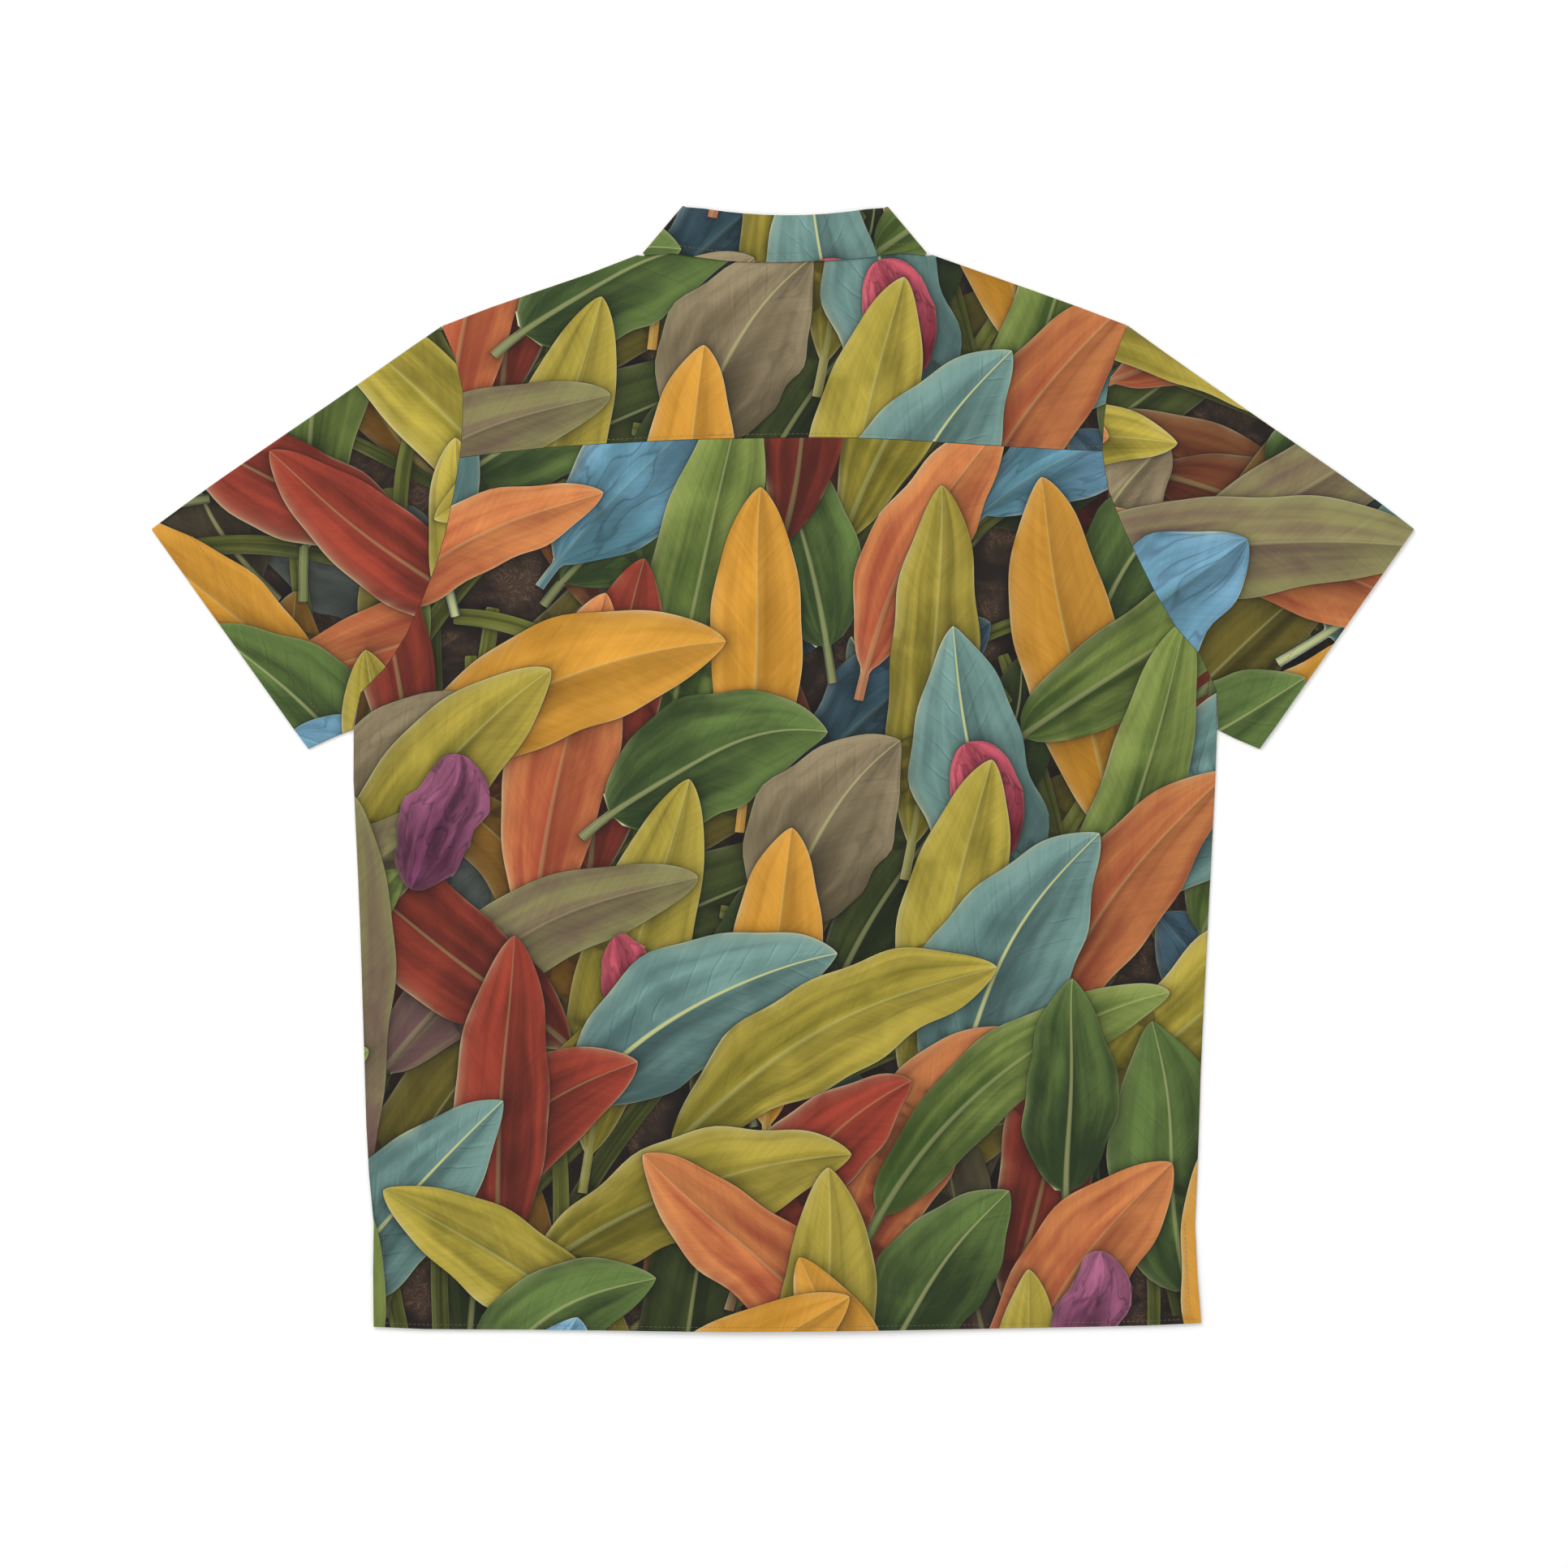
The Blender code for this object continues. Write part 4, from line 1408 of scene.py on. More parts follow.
@dataclass(frozen=True)
class Stitch:
    """Size of one stitch, in metres; its pitch is the distance to the next one."""

    pitch: float = 0.0031
    length: float = 0.0023
    width: float = 0.00030
    thickness: float = 0.00028


RUNNING = Stitch()
SATIN = Stitch(0.00052, 0.00050, 0.0013, 0.00036)


class StitchTree:
    """Geometry Nodes that lay one stitch after another along every line of a mesh."""

    SIZES = ("Pitch", "Length", "Width", "Thickness")
    SEGMENTS = 6
    RINGS = 4
    SEED = 11
    UNEVEN = 0.06

    def __init__(self, material: bpy.types.Material) -> None:
        """Builds the tree.

        Args:
            material: The thread's finish.
        """
        self.material = material
        self.tree = bpy.data.node_groups.new("stitches", "GeometryNodeTree")
        self.sockets: dict[str, str] = {}
        self._socket("Lines", "INPUT", "NodeSocketGeometry")
        for name in self.SIZES:
            self._socket(name, "INPUT", "NodeSocketFloat")
        self._socket("Seed", "INPUT", "NodeSocketInt")
        self._socket("Stitches", "OUTPUT", "NodeSocketGeometry")
        self._link()

    def _socket(self, name: str, way: str, kind: str) -> None:
        """Adds an input or output of the tree and keeps its identifier."""
        made = self.tree.interface.new_socket(name, in_out=way, socket_type=kind)
        self.sockets[name] = made.identifier

    def _link(self) -> None:
        """Adds the nodes from the lines to the finished stitches."""
        tree = self.tree
        given = add_node(tree, "NodeGroupInput").outputs

        def put(kind: str, values: dict[str | int, object], **settings: str) -> bpy.types.NodeSocket:
            """Adds a node and gives its first output."""
            return add_node(tree, kind, settings, values).outputs[0]

        curve = put("GeometryNodeMeshToCurve", {"Mesh": given["Lines"]})
        run = {"Curve": curve, "Length": given["Pitch"]}
        points = put("GeometryNodeResampleCurve", run, mode="LENGTH")
        tangent = put("GeometryNodeInputTangent", {})
        turn = put("FunctionNodeAlignRotationToVector", {"Vector": tangent}, axis="X")
        sizes = {"X": given["Length"], "Y": given["Width"], "Z": given["Thickness"]}
        size = put("ShaderNodeCombineXYZ", sizes)
        least, most = (1.0 - self.UNEVEN,) * 3, (1.0 + self.UNEVEN,) * 3
        span = {"Min": least, "Max": most, "Seed": given["Seed"]}
        uneven = put("FunctionNodeRandomValue", span, data_type="FLOAT_VECTOR")
        scale = put("ShaderNodeVectorMath", {0: size, 1: uneven}, operation="MULTIPLY")
        ball = {"Segments": self.SEGMENTS, "Rings": self.RINGS, "Radius": 0.5}
        bead = put("GeometryNodeMeshUVSphere", ball)
        smooth = put("GeometryNodeSetShadeSmooth", {0: bead})
        spots = {"Points": points, "Instance": smooth, "Rotation": turn, "Scale": scale}
        placed = put("GeometryNodeInstanceOnPoints", spots)
        real = put("GeometryNodeRealizeInstances", {0: placed})
        painted = put("GeometryNodeSetMaterial", {"Geometry": real, "Material": self.material})
        add_node(tree, "NodeGroupOutput", None, {"Stitches": painted})

    def lay(self, name: str, paths: list[np.ndarray], stitch: Stitch) -> bpy.types.Object:
        """Lays stitches along lines and turns them into a plain mesh.

        Args:
            name: The object's name.
            paths: Lines of points in metres.
            stitch: Size of one stitch.

        Returns:
            The linked object.
        """
        data = bpy.data.meshes.new(f"{name}_lines")
        edges = []
        start = 0
        for path in paths:
            edges.extend((start + i, start + i + 1) for i in range(len(path) - 1))
            start += len(path)
        data.from_pydata(np.vstack(paths).tolist(), edges, [])
        made = linked(name, data)
        modifier = made.modifiers.new("stitches", "NODES")
        modifier.node_group = self.tree
        for size in self.SIZES:
            modifier[self.sockets[size]] = getattr(stitch, size.lower())
        modifier[self.sockets["Seed"]] = self.SEED
        evaluated = made.evaluated_get(bpy.context.evaluated_depsgraph_get())
        plain = bpy.data.meshes.new_from_object(evaluated)
        made.modifiers.clear()
        made.data = plain
        bpy.data.meshes.remove(data)
        plain.name = name
        return made


@dataclass(frozen=True)
class Buttonhole:
    """A slit edged with satin stitches, as lines in plan."""

    centre: Point
    length: float = 15.0
    spread: float = 0.8
    end: float = 1.3

    def paths(self) -> list[np.ndarray]:
        """Gives the two long sides and the two ends, in millimetres.

        Returns:
            Points of the four lines.
        """
        x, y = self.centre
        half = self.length / 2.0
        shifts = (-self.spread, self.spread)
        sides = [[(x + shift, y - half), (x + shift, y + half)] for shift in shifts]
        ends = [[(x - self.end, y + tip), (x + self.end, y + tip)] for tip in (-half, half)]
        return [evenly_spaced(np.array(run), SeamRow.STEP) for run in sides + ends]


class Surface:
    """Finds a built piece's height, so that sewing lies on it."""

    def __init__(self, made: bpy.types.Object) -> None:
        """Reads the piece's mesh.

        Args:
            made: The piece.
        """
        corners = [vertex.co.copy() for vertex in made.data.vertices]
        faces = [tuple(face.vertices) for face in made.data.polygons]
        self.tree = BVHTree.FromPolygons(corners, faces)

    def trace(self, path: np.ndarray, side: Side, lift: float) -> np.ndarray:
        """Lays a plan line on one side of the piece.

        Args:
            path: Points in plan, in millimetres.
            side: The side that it lies on.
            lift: How far off the cloth it lies, in metres.

        Returns:
            Points in metres.
        """
        traced = []
        for x, y in path * MM:
            hit = self.tree.ray_cast(Vector((x, y, side)), Vector((0.0, 0.0, -side)))[0]
            if hit is not None:
                traced.append((x, y, hit.z + side * lift))
        return np.array(traced)


# ---------------------------------------------------------------- cloth pieces


class Finish(Enum):
    """Material slots of a cloth piece, in order."""

    GROUND = 0
    LEAF = 1
    WRONG = 2


@dataclass(frozen=True)
class Face:
    """One printed side of a cloth piece."""

    side: Side
    cut: Cut
    count: int = 1


class SolidForm:
    """A CAD node's merged mesh in millimetres, whose printed sides are meshed anew."""

    # How much of a face's normal has to point up or down, and the angle at which two faces bend.
    FLAT = 0.05
    BEND = 0.1
    # Lengths in millimetres: merged points, the start of a ray over the cloth, its middle's height.
    MERGED = 2e-6
    ABOVE = 60.0
    MIDDLE = 2.0
    LEAST_AREA = 400.0
    # Spacing of the points between the lines, as shares of the grain.
    ROW_PITCH = 0.866
    CELL = 0.5
    CLEAR = 0.3
    # Points this near are one, triangles this thin are left out, splits keep this far from an end.
    NEAR = 1e-4
    THIN = 1e-9
    SPLIT = 1e-6

    def __init__(self, node: str) -> None:
        """Copies the node's mesh and merges its loose triangles.

        Args:
            node: The CAD node.
        """
        self.mesh = bmesh.new()
        self.mesh.from_mesh(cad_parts[node].data)
        bmesh.ops.remove_doubles(self.mesh, verts=self.mesh.verts, dist=self.MERGED)
        bmesh.ops.scale(self.mesh, vec=(1.0 / MM,) * 3, verts=self.mesh.verts)
        self.mesh.normal_update()
        self.area_of_print = self.mesh.faces.layers.int.new("print_area")

    def regions(self, side: Side, count: int) -> list[list[bmesh.types.BMFace]]:
        """Finds the outermost sheets of faces that look up or down.

        Args:
            side: Which way they look.
            count: How many to return.

        Returns:
            The sheets' faces.
        """
        seen: set[bmesh.types.BMFace] = set()
        found = []
        for face in self.mesh.faces:
            if face in seen or face.normal.z * side < self.FLAT:
                continue
            region = self._spread(face, side, seen)
            area = sum(f.calc_area() for f in region)
            if area > self.LEAST_AREA:
                height = sum(f.calc_area() * f.calc_center_median().z for f in region) / area
                found.append((height * side, region))
        found.sort(key=lambda item: -item[0])
        return [region for _, region in found[:count]]

    def _spread(
        self, start: bmesh.types.BMFace, side: Side, seen: set[bmesh.types.BMFace]
    ) -> list[bmesh.types.BMFace]:
        """Gathers the faces joined to one that look the same way.

        Args:
            start: The first face.
            side: Which way they look.
            seen: Faces already gathered.

        Returns:
            The joined faces.
        """
        seen.add(start)
        region = [start]
        for face in region:
            for edge in face.edges:
                for other in edge.link_faces:
                    if other not in seen and other.normal.z * side >= self.FLAT:
                        seen.add(other)
                        region.append(other)
        return region

    def rim(self, region: list[bmesh.types.BMFace]) -> list[bmesh.types.BMVert]:
        """Puts the corners round a sheet of faces in order.

        Args:
            region: The sheet's faces.

        Returns:
            The corners of its longest rim, with the sheet on their left.
        """
        members = set(region)
        unused = {loop for face in region for loop in face.loops if self._is_rim(loop, members)}
        ordered = [loop for face in region for loop in face.loops if loop in unused]
        rings: list[list[bmesh.types.BMVert]] = []
        for first in ordered:
            ring = []
            loop = first
            while loop in unused:
                unused.discard(loop)
                ring.append(loop.vert)
                loop = loop.link_loop_next
                while not self._is_rim(loop, members):
                    other = next(side for side in loop.edge.link_loops if side is not loop)
                    loop = other.link_loop_next
            rings.append(ring)
        return max(rings, key=len)

    @staticmethod
    def _is_rim(loop: bmesh.types.BMLoop, members: set[bmesh.types.BMFace]) -> bool:
        """Tells whether a face's side lies on the rim of a sheet."""
        return sum(other in members for other in loop.edge.link_faces) == 1

    def remesh(
        self,
        region: list[bmesh.types.BMFace],
        area: PrintArea,
        sewing: Sewing,
        number: int,
        grain: float,
    ) -> None:
        """Meshes a sheet of faces anew, cut along the print's edges and the rows of stitches.

        Args:
            region: The sheet's faces.
            area: The print that it shows.
            sewing: Its rows of stitches.
            number: Mark of the printed side, kept on its faces.
            grain: Spacing of the points between the edges.
        """
        ring = self.rim(region)
        outline = plan_of(ring)
        drawn = area.lines() + sewing.lines() + [self._bends(region)]
        corners, edges = self._constraints(outline, drawn, grain)
        found = delaunay_2d_cdt([Vector(c) for c in corners], edges, [], 0, self.NEAR, True)
        places = np.array([(c.x, c.y) for c in found[0]])
        triangles = np.array(found[2])
        held = inside(places[triangles].mean(1), outline)
        side = Side.UP if region[0].normal.z > 0 else Side.DOWN
        ground = self._ground(region, side)
        known = self._rim_points(ring, found)
        dips = sewing.dips(places)
        bmesh.ops.delete(self.mesh, geom=region, context="FACES")
        for triangle in triangles[held]:
            verts = []
            for index in triangle:
                if index not in known:
                    spot = ground(places[index])
                    spot.z -= dips[index] * side
                    known[index] = self.mesh.verts.new(spot)
                verts.append(known[index])
            turn = (verts[1].co - verts[0].co).cross(verts[2].co - verts[0].co).z
            if abs(turn) < self.THIN or len(set(verts)) < 3 or self.mesh.faces.get(verts):
                continue
            face = self.mesh.faces.new(verts if turn * side > 0 else verts[::-1])
            face[self.area_of_print] = number
            face.smooth = True

    def _bends(self, region: list[bmesh.types.BMFace]) -> tuple[np.ndarray, np.ndarray]:
        """Finds the solid's own edges where a sheet of faces bends, as at a rolled edge.

        Args:
            region: The sheet's faces.

        Returns:
            Starts and ends of the edges in plan.
        """
        members = set(region)
        starts = []
        ends = []
        for edge in dict.fromkeys(e for f in region for e in f.edges):
            near = [face for face in edge.link_faces if face in members]
            if len(near) == 2 and near[0].normal.angle(near[1].normal) > self.BEND:
                starts.append(edge.verts[0].co.xy)
                ends.append(edge.verts[1].co.xy)
        return np.array(starts).reshape(-1, 2), np.array(ends).reshape(-1, 2)

    def _constraints(
        self, outline: np.ndarray, drawn: list[tuple[np.ndarray, np.ndarray]], grain: float
    ) -> tuple[np.ndarray, list[tuple[int, int]]]:
        """Collects the points and lines that the new mesh has to hold.

        Args:
            outline: The sheet's outline in plan.
            drawn: Starts and ends of the segments that are cut into it.
            grain: Spacing of the points between the lines.

        Returns:
            Points, and pairs of points that are joined.
        """
        count = len(outline)
        corners = [outline]
        edges = [(i, (i + 1) % count) for i in range(count)]
        total = count
        for starts, ends in drawn:
            if not len(starts):
                continue
            used = inside(starts, outline) | inside(ends, outline)
            starts = starts[used]
            ends = ends[used]
            corners.extend((starts, ends))
            size = len(starts)
            edges.extend((total + i, total + size + i) for i in range(size))
            total += 2 * size
        lines = np.vstack(corners)
        low = outline.min(0)
        high = outline.max(0)
        rows = np.arange(low[1], high[1], grain * self.ROW_PITCH)
        grid = []
        for number, row in enumerate(rows):
            east = np.arange(low[0] + 0.5 * grain * (number % 2), high[0], grain)
            grid.append(np.column_stack((east, np.full_like(east, row))))
        points = np.vstack(grid)
        points = points[inside(points, outline)]
        cell = grain * self.CELL
        taken = {tuple(c) for c in np.round(lines / cell).astype(int)}
        clear = [tuple(c) not in taken for c in np.round(points / cell).astype(int)]
        points = points[np.array(clear)]
        distance, _ = nearest_on(points, outline)
        return np.vstack((lines, points[distance > self.CLEAR * grain])), edges

    def _ground(
        self, region: list[bmesh.types.BMFace], side: Side
    ) -> Callable[[np.ndarray], Vector]:
        """Makes a function that finds the solid's height at a plan point.

        Args:
            region: The sheet's faces.
            side: Which way the sheet looks.

        Returns:
            A function from a plan point to a point on the sheet.
        """
        verts = list({v for f in region for v in f.verts})
        index = {v: i for i, v in enumerate(verts)}
        tree = BVHTree.FromPolygons([v.co for v in verts], [[index[v] for v in f.verts] for f in region])

        def on_sheet(place: np.ndarray) -> Vector:
            """Drops a plan point onto the sheet.

            Args:
                place: The plan point.

            Returns:
                The point on the sheet.
            """
            start = Vector((place[0], place[1], self.ABOVE * side))
            hit = tree.ray_cast(start, Vector((0.0, 0.0, -side)))[0]
            if hit is None:
                near = tree.find_nearest(Vector((place[0], place[1], self.MIDDLE)))[0]
                hit = Vector((place[0], place[1], near.z))
            return hit

        return on_sheet

    def _rim_points(
        self, ring: list[bmesh.types.BMVert], found: tuple
    ) -> dict[int, bmesh.types.BMVert]:
        """Splits the rim where the print's edges meet it.

        Args:
            ring: The rim's corners in order.
            found: What the triangulation returned.

        Returns:
            The mesh's vertex for each triangulated point on the rim.
        """
        places = found[0]
        known: dict[int, bmesh.types.BMVert] = {}
        for index, sources in enumerate(found[3]):
            for source in sources:
                if source < len(ring):
                    known[index] = ring[source]
        on_edge: dict[int, set[int]] = {}
        for edge, sources in zip(found[1], found[4]):
            for source in sources:
                if source < len(ring):
                    on_edge.setdefault(source, set()).update(edge)
        for source, members in on_edge.items():
            start = ring[source]
            end = ring[(source + 1) % len(ring)]
            first = start.co.xy
            fresh = [m for m in members if m not in known]
            fresh.sort(key=lambda m: (places[m] - first).length)
            for member in fresh:
                flat = start.co.xy
                whole = (end.co.xy - flat).length
                share = (places[member] - flat).length / whole
                share = min(max(share, self.SPLIT), 1.0 - self.SPLIT)
                edge = self.mesh.edges.get((start, end))
                _, vert = bmesh.utils.edge_split(edge, start, share)
                known[member] = vert
                start = vert
        return known

    def close(self, name: str) -> bpy.types.Object:
        """Makes the object.

        Args:
            name: The object's name.

        Returns:
            The linked object, in metres.
        """
        rest = [f for f in self.mesh.faces if len(f.verts) > 3]
        bmesh.ops.triangulate(self.mesh, faces=rest)
        return linked_mesh(name, self.mesh)


@dataclass
class ClothPiece:
    """One cut piece of the shirt: a thin shell on its solid's form, with its print."""

    node: str
    slot: str
    faces: tuple[Face, ...]
    cut_size: Point
    cut_area: float
    rests_on: tuple[str, ...] = ("floor",)
    grain: float = 8.0
    rows: tuple[SeamRow, ...] = ()
    buttonholes: tuple[Buttonhole, ...] = ()
    held: str = "laid"

    THREAD_LIFT = 0.00004

    def build(
        self, motifs: list[Motif], materials: list[bpy.types.Material], stitches: StitchTree
    ) -> list[bpy.types.Object]:
        """Args:
            motifs: The print's layout.
            materials: The cloth's finishes in the order of Finish.
            stitches: What lays the stitches.

        Returns:
            The cloth and its stitches.
        """
        form = SolidForm(self.node)
        areas: list[PrintArea] = []
        sewn: list[Sewing] = []
        free = self.rows
        for face in self.faces:
            for region in form.regions(face.side, face.count):
                outline = plan_of(form.rim(region))
                area = PrintArea(motifs, face.cut, outline)
                areas.append(area)
                sewing = Sewing(free, face.side, outline)
                free = tuple(row for row in free if row not in sewing.rows)
                sewn.append(sewing)
                form.remesh(region, area, sewing, len(areas), self.grain)
        made = form.close(f"{self.node}_cloth")
        for material in materials:
            made.data.materials.append(material)
        self._dress(made.data, areas)
        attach(made, "root")
        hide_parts(self.node)
        parts = self._sew(made, sewn, stitches)
        return [made, *parts]

    def _sew(
        self, made: bpy.types.Object, sewn: list[Sewing], stitches: StitchTree
    ) -> list[bpy.types.Object]:
        """Lays the rows of stitches and the buttonholes on the built piece.

        Args:
            made: The piece.
            sewn: The rows of each printed side.
            stitches: What lays the stitches.

        Returns:
            The objects made.
        """
        surface = Surface(made)
        rows = [
            surface.trace(path, sewing.side, self.THREAD_LIFT)
            for sewing in sewn
            for path in sewing.paths
        ]
        holes = [
            surface.trace(path, Side.DOWN, self.THREAD_LIFT)
            for hole in self.buttonholes
            for path in hole.paths()
        ]
        parts = []
        if rows:
            parts.append(stitches.lay(f"{self.node}_stitches", rows, RUNNING))
        if holes:
            parts.append(stitches.lay(f"{self.node}_buttonholes", holes, SATIN))
        for part in parts:
            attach(part, "root")
        return parts

    def _dress(self, data: bpy.types.Mesh, areas: list[PrintArea]) -> None:
        """Writes the print's attributes and material indices on the mesh.

        Args:
            data: The piece's mesh.
            areas: The printed areas, in the order of their marks.
        """
        size = len(data.polygons)
        corners = np.empty(size * 3, int)
        data.polygons.foreach_get("vertices", corners)
        places = np.empty(len(data.vertices) * 3)
        data.vertices.foreach_get("co", places)
        places = places.reshape(-1, 3)[:, :2] / MM
        marks = np.empty(size, int)
        data.attributes["print_area"].data.foreach_get("value", marks)
        normals = np.empty(size * 3)
        data.polygons.foreach_get("normal", normals)
        rises = normals.reshape(-1, 3)[:, 2]
        sides = {face.side for face in self.faces}
        unprinted = np.abs(rises) if len(sides) > 1 else -rises * self.faces[0].side
        sheet = PrintSheet(size)
        for number, area in enumerate(areas, 1):
            chosen = np.flatnonzero(marks == number if number > 1 else marks <= 1)
            sheet.fill(area, chosen, places[corners.reshape(-1, 3)[chosen]])
        finish = np.where(sheet.owner >= 0, Finish.LEAF.value, Finish.GROUND.value)
        hidden = (marks == 0) & (unprinted >= SolidForm.FLAT)
        finish = np.where(hidden, Finish.WRONG.value, finish)
        data.polygons.foreach_set("material_index", finish.astype(np.int32))
        sheet.write(data)
        data.attributes.remove(data.attributes["print_area"])
        data.update()


class PrintSheet:
    """The print's values at every corner of a piece's triangles."""

    BARE = (0.2, 0.16, 0.13)
    SEED_SPREAD = 10.0
    TONE_POWER = 1.6

    def __init__(self, size: int) -> None:
        """Makes empty values.

        Args:
            size: Number of triangles.
        """
        self.owner = np.full(size, -1)
        self.place = np.zeros((size, 3, 3))
        self.facts = np.zeros((size, 3, 3))
        self.style = np.zeros((size, 3, 3))
        self.base = np.ones((size, 3, 4))
        self.tip = np.ones((size, 3, 4))
        self.reach = np.zeros((size, 3))

    def fill(self, area: PrintArea, chosen: np.ndarray, corners: np.ndarray) -> None:
        """Fills in the triangles of one printed area.

        Args:
            area: The printed area.
            chosen: The triangles' numbers.
            corners: Their corners in plan.
        """
        flat = area.cut.to_print(corners.reshape(-1, 2))
        corners = flat.reshape(-1, 3, 2)
        middles = corners.mean(1)
        owners = area.owners(middles)
        self.owner[chosen] = owners
        cover = area.cover(flat, np.repeat(owners, 3)).reshape(-1, 3)
        self.facts[chosen, :, 1] = cover
        for colours in (self.base, self.tip):
            colours[chosen, :, :3] = linear(self.BARE)
        for number, motif in enumerate(area.motifs):
            mine = np.flatnonzero(owners == number)
            if not len(mine):
                continue
            rows = chosen[mine]
            along, across = motif.place(corners[mine].reshape(-1, 2))
            _, side = motif.place(middles[mine])
            hand = np.repeat(np.where(side >= 0.0, 1.0, -1.0), 3)
            reach = along / motif.length
            width = motif.half_width(reach, hand)
            values = np.column_stack((along, np.maximum(across * hand, 0.0), width))
            self.place[rows] = values.reshape(-1, 3, 3)
            self.reach[rows] = reach.reshape(-1, 3)
            self.facts[rows, :, 0] = hand.reshape(-1, 3)
            self.facts[rows, :, 2] = motif.seed * self.SEED_SPREAD
            plant = motif.plant
            self.style[rows] = (plant.veins, plant.rim * motif.tone, plant.crumple)
            for colours, colour in ((self.base, plant.base), (self.tip, plant.tip)):
                colours[rows, :, :3] = np.array(linear(colour)) * motif.tone**self.TONE_POWER

    def write(self, data: bpy.types.Mesh) -> None:
        """Stores the values on a mesh.

        Args:
            data: The piece's mesh.
        """
        for name, kind, key, values in (
            ("leaf_place", "FLOAT_VECTOR", "vector", self.place),
            ("leaf_facts", "FLOAT_VECTOR", "vector", self.facts),
            ("leaf_style", "FLOAT_VECTOR", "vector", self.style),
            ("leaf_base", "FLOAT_COLOR", "color", self.base),
            ("leaf_tip", "FLOAT_COLOR", "color", self.tip),
            ("leaf_reach", "FLOAT", "value", self.reach),
        ):
            attribute = data.attributes.new(name, kind, "CORNER")
            attribute.data.foreach_set(key, values.astype(np.float32).ravel())


# ---------------------------------------------------------------- the shirt's pieces

# How far each kind of stitch row lies from its edge, in millimetres, and where the buttons are.
HEM_INSET = 3.0
VENT_INSET = 7.0
SLEEVE_HEM_INSET = 20.0
YOKE_INSET = 2.5
EDGE_INSET = 6.0
BUTTON_X = 2.0
BUTTON_ROWS = (206.5, 122.5, 38.5, -45.5, -129.5, -213.5)

# Corners of the printed sides in plan, where rows of stitches start and end.
HEM_LEFT = (-279.9, -381.8)
HEM_RIGHT = (286.2, -379.0)
VENT_TOP_LEFT = (-279.9, -312.0)
VENT_TOP_RIGHT = (282.0, -312.0)
YOKE_LEFT = (-220.8, 213.2)
YOKE_RIGHT = (218.3, 217.6)
CUFF_LEFT = ((-432.0, 164.1), (-324.7, 13.6))
CUFF_RIGHT = ((432.0, 164.1), (326.4, 13.6))
FALL_LEFT = (-93.9, 351.3)
FALL_RIGHT = (96.6, 351.3)
LEAF_TIP_LEFT = (-120.0, 292.5)
LEAF_TIP_RIGHT = (124.0, 292.5)
GORGE_LEFT = (-41.5, 340.4)
GORGE_RIGHT = (45.5, 340.4)
PLACKET_TOP = (20.0, 222.3)
PLACKET_FOOT = (20.0, -384.7)
UNDERLAP_FOOT = (-16.0, -384.9)
# A lapel's foot, its tip and its notch.
LAPEL_LEFT = ((10.1, 222.2), (-97.0, 281.5), (-74.8, 319.5))
LAPEL_RIGHT = ((58.8, 248.7), (101.0, 281.5), (78.8, 319.5))


def rows_along(side: Side, inset: float, *corners: Point) -> tuple[SeamRow, ...]:
    """Lists the rows that join corner to corner at one distance from the edge.

    Args:
        side: The printed side.
        inset: Distance from the edge.
        *corners: The corners in order.

    Returns:
        One row for each stretch.
    """
    return tuple(SeamRow(side, start, end, inset) for start, end in zip(corners, corners[1:]))


def back_pieces() -> list[ClothPiece]:
    """Lists the back and the yoke.

    Returns:
        The pieces, with their rows of stitches.
    """
    fronts = ("front_left", "front_right")
    back = ClothPiece(
        node="back",
        slot="body_cloth",
        faces=(Face(Side.UP, Cut()),),
        cut_size=(0.591, 0.611),
        cut_area=0.335,
        rests_on=fronts,
        rows=(
            *rows_along(Side.UP, HEM_INSET, HEM_LEFT, HEM_RIGHT),
            *rows_along(Side.UP, VENT_INSET, HEM_LEFT, VENT_TOP_LEFT),
            *rows_along(Side.UP, VENT_INSET, HEM_RIGHT, VENT_TOP_RIGHT),
        ),
    )
    yoke = ClothPiece(
        node="yoke",
        slot="yoke_cloth",
        faces=(Face(Side.UP, Cut(0, 60, -330)),),
        cut_size=(0.468, 0.142),
        cut_area=0.0527,
        rests_on=fronts,
        rows=rows_along(Side.UP, YOKE_INSET, YOKE_LEFT, YOKE_RIGHT),
    )
    return [back, yoke]


def front_pieces() -> list[ClothPiece]:
    """Lists the fronts.

    Returns:
        The pieces, the left one with its buttonholes.
    """
    left_rows = (
        *rows_along(Side.DOWN, HEM_INSET, HEM_LEFT, PLACKET_FOOT),
        *rows_along(Side.DOWN, VENT_INSET, HEM_LEFT, VENT_TOP_LEFT),
        *rows_along(Side.DOWN, EDGE_INSET, PLACKET_TOP, PLACKET_FOOT),
    )
    right_rows = (
        *rows_along(Side.DOWN, HEM_INSET, HEM_RIGHT, UNDERLAP_FOOT),
        *rows_along(Side.DOWN, VENT_INSET, HEM_RIGHT, VENT_TOP_RIGHT),
    )
    holes = tuple(Buttonhole((BUTTON_X, row)) for row in BUTTON_ROWS)
    return [
        ClothPiece(
            node=f"front_{hand}",
            slot="front_cloth",
            faces=(Face(Side.DOWN, cut),),
            cut_size=(0.32, 0.74),
            cut_area=area,
            grain=10.0,
            rows=rows,
            buttonholes=buttonholes,
        )
        for hand, cut, area, rows, buttonholes in (
            ("left", Cut(0, 100, 150, True), 0.203, left_rows, holes),
            ("right", Cut(0, -120, 90, True), 0.202, right_rows, ()),
        )
    ]


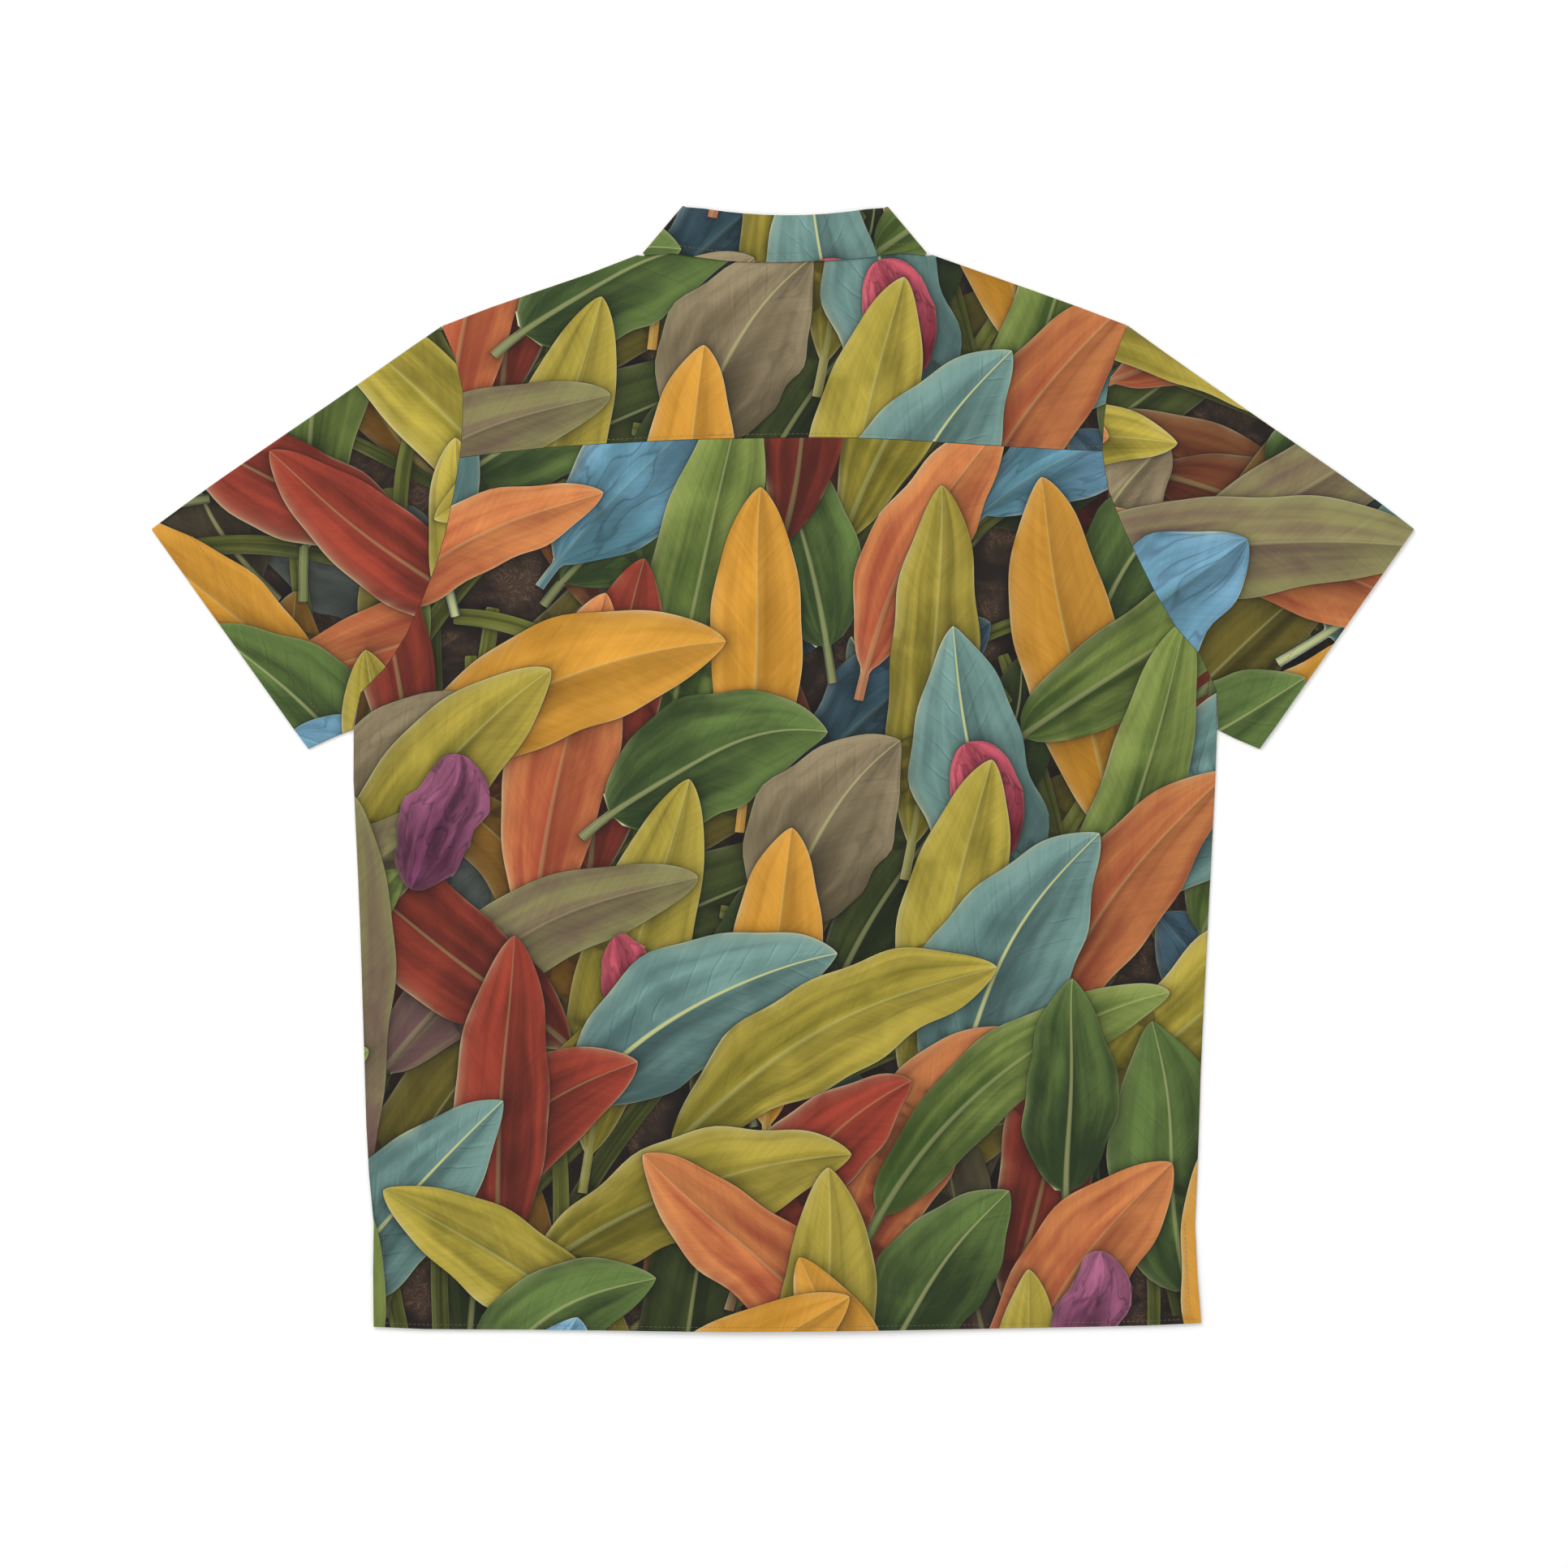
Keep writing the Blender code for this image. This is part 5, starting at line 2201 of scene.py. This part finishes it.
def sleeve_pieces() -> list[ClothPiece]:
    """Lists the two sleeves, flat tubes that are printed above and below.

    Returns:
        The pieces, with a hem all round.
    """
    return [
        ClothPiece(
            node=f"sleeve_{hand}",
            slot="sleeve_cloth",
            faces=(Face(Side.UP, upper), Face(Side.DOWN, lower)),
            cut_size=(0.45, 0.26),
            cut_area=area,
            rows=tuple(SeamRow(side, *cuff, SLEEVE_HEM_INSET) for side in Side),
        )
        for hand, upper, lower, area, cuff in (
            ("left", Cut(-55, 150, 250), Cut(-55, -200, -150, True), 0.0652, CUFF_LEFT),
            ("right", Cut(55, -150, 300), Cut(55, 200, -200, True), 0.0628, CUFF_RIGHT),
        )
    ]


def collar_pieces() -> list[ClothPiece]:
    """Lists the collar and the facings that show as lapels from below.

    Returns:
        The pieces, stitched along their free edges.
    """
    collar = ClothPiece(
        node="collar",
        slot="collar_cloth",
        faces=(Face(Side.UP, Cut(0, 100, -330), 6), Face(Side.DOWN, Cut(0, 200, -200, True), 6)),
        cut_size=(0.45, 0.08),
        cut_area=0.018,
        rests_on=("yoke",),
        grain=7.0,
        rows=(
            *rows_along(Side.UP, EDGE_INSET, FALL_LEFT, FALL_RIGHT),
            *rows_along(Side.DOWN, EDGE_INSET, FALL_LEFT, LEAF_TIP_LEFT, GORGE_LEFT),
            *rows_along(Side.DOWN, EDGE_INSET, FALL_RIGHT, LEAF_TIP_RIGHT, GORGE_RIGHT),
        ),
    )
    facings = [
        ClothPiece(
            node=f"facing_{hand}",
            slot="facing_cloth",
            faces=(Face(Side.DOWN, cut),),
            cut_size=size,
            cut_area=area,
            rows=rows_along(Side.DOWN, EDGE_INSET, *corners),
        )
        for hand, cut, size, area, corners in (
            ("left", Cut(20, 0, 0, True), (0.12, 0.12), 0.0065, LAPEL_LEFT),
            ("right", Cut(-20, 90, 0, True), (0.10, 0.10), 0.0050, LAPEL_RIGHT),
        )
    ]
    return [collar, *facings]


# ---------------------------------------------------------------- buttons


@dataclass
class Buttons:
    """The six buttons, carried over from the solids, with the thread that holds them."""

    rows: tuple[float, ...] = BUTTON_ROWS
    hole: float = 1.5
    thread_radius: float = 0.42
    sides: int = 8
    bridge: float = 0.25
    root: float = 2.0
    turn_rise: float = 0.5
    turn_run: float = 0.35

    def build(
        self, resin: bpy.types.Material, thread: bpy.types.Material
    ) -> list[bpy.types.Object]:
        """Gives the buttons their finish and sews them on.

        Args:
            resin: The buttons' finish.
            thread: The thread's finish.

        Returns:
            The buttons, each followed by its thread.
        """
        pieces = []
        for number, row in enumerate(self.rows, 1):
            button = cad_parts[f"button_{number}"]
            for slot in button.material_slots:
                slot.material = resin
            low = min(corner[2] for corner in button.bound_box) / MM
            sewn = self._sewn(f"button_{number}_thread", row, low)
            sewn.data.materials.append(thread)
            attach(sewn, "root")
            pieces.extend((button, sewn))
        return pieces

    def _sewn(self, name: str, row: float, low: float) -> bpy.types.Object:
        """Makes two loops of thread through a button's four holes.

        Args:
            name: The object's name.
            row: Where the button lies along the placket.
            low: Height of the button's outer face.

        Returns:
            The linked object.
        """
        mesh = bmesh.new()
        for shift in (-self.hole, self.hole):
            x = BUTTON_X + shift
            near = row - self.hole
            far = row + self.hole
            bottom = low + self.bridge
            turn = bottom + self.turn_rise
            top = low + self.root
            path = [
                Vector((x, near, top)),
                Vector((x, near, turn)),
                Vector((x, near + self.turn_run, bottom)),
                Vector((x, far - self.turn_run, bottom)),
                Vector((x, far, turn)),
                Vector((x, far, top)),
            ]
            self._tube(mesh, path)
        bmesh.ops.recalc_face_normals(mesh, faces=mesh.faces)
        return linked_mesh(name, mesh)

    def _tube(self, mesh: bmesh.types.BMesh, path: list[Vector]) -> None:
        """Sweeps a round thread along a path that keeps to one upright plane.

        Args:
            mesh: What it is added to.
            path: The path's corners.
        """
        aside = Vector((1.0, 0.0, 0.0))
        rings = []
        for index, spot in enumerate(path):
            ahead = path[min(index + 1, len(path) - 1)] - path[max(index - 1, 0)]
            rise = aside.cross(ahead.normalized())
            ring = []
            for turn in range(self.sides):
                angle = 2.0 * math.pi * turn / self.sides
                offset = aside * math.cos(angle) + rise * math.sin(angle)
                ring.append(mesh.verts.new(spot + offset * self.thread_radius))
            rings.append(ring)
        for near, far in zip(rings, rings[1:]):
            for turn in range(self.sides):
                after = (turn + 1) % self.sides
                face = mesh.faces.new((near[turn], near[after], far[after], far[turn]))
                face.smooth = True
        mesh.faces.new(rings[0])
        mesh.faces.new(rings[-1])


# ---------------------------------------------------------------- studio


@dataclass
class Studio:
    """Pale floor, soft light and a camera straight above."""

    frame_width: float = 1.0734
    centre: Point = (0.0008, -0.0104)
    height: float = 3.2
    sensor: float = 36.0
    sight: float = 50.0
    floor_half: float = 6.0
    floor_height: float = -0.0002
    world_strength: float = 0.88
    key_energy: float = 37.5
    key_size: float = 1.8
    key_place: tuple[float, float, float] = (-1.0, 1.6, 2.2)

    def build(self) -> None:
        """Builds floor, lights and camera."""
        self._floor()
        self._lights()
        self._camera()

    def _floor(self) -> None:
        """Lays the floor just under the cloth."""
        half = self.floor_half
        plan = ((-half, -half), (half, -half), (half, half), (-half, half))
        data = bpy.data.meshes.new("floor")
        data.from_pydata([(x, y, self.floor_height) for x, y in plan], [], [(0, 1, 2, 3)])
        data.materials.append(FloorPaint().material())
        linked("floor", data)

    def _lights(self) -> None:
        """Lights the cloth with an even sky and one broad soft lamp."""
        world = bpy.data.worlds.new("studio")
        world.use_nodes = True
        sky = world.node_tree.nodes["Background"]
        sky.inputs["Color"].default_value = (1.0, 1.0, 1.0, 1.0)
        sky.inputs["Strength"].default_value = self.world_strength
        bpy.context.scene.world = world
        lamp = bpy.data.lights.new("key", "AREA")
        lamp.shape = "SQUARE"
        lamp.size = self.key_size
        lamp.energy = self.key_energy
        key = linked("key", lamp)
        key.location = self.key_place
        key.rotation_euler = (-key.location).to_track_quat("-Z", "Y").to_euler()

    def _camera(self) -> None:
        """Hangs the camera over the shirt."""
        scene = bpy.context.scene
        lens = bpy.data.cameras.new("camera")
        lens.sensor_width = self.sensor
        lens.lens = self.sensor * self.height / self.frame_width
        lens.clip_end = self.sight
        camera = linked("camera", lens)
        camera.location = (*self.centre, self.height)
        scene.camera = camera
        scene.view_settings.view_transform = "Standard"


def report(pieces: list[bpy.types.Object]) -> None:
    """Logs each piece with its number of faces."""
    for made in pieces:
        log.info("%s: %d faces", made.name, len(made.data.polygons))


def main() -> None:
    """Builds the shirt and its studio."""
    logging.basicConfig(level=logging.INFO, format="%(message)s")
    motifs = LeafPrint().motifs()
    log.info("print: %d motifs", len(motifs))
    materials = [GroundInk().material(), LeafInk().material(), WrongSide().material()]
    thread = Thread().material()
    stitches = StitchTree(thread)
    for piece in back_pieces() + front_pieces() + sleeve_pieces() + collar_pieces():
        report(piece.build(motifs, materials, stitches))
    report(Buttons().build(ButtonResin().material(), thread))
    Studio().build()


if __name__ == "__main__":
    main()
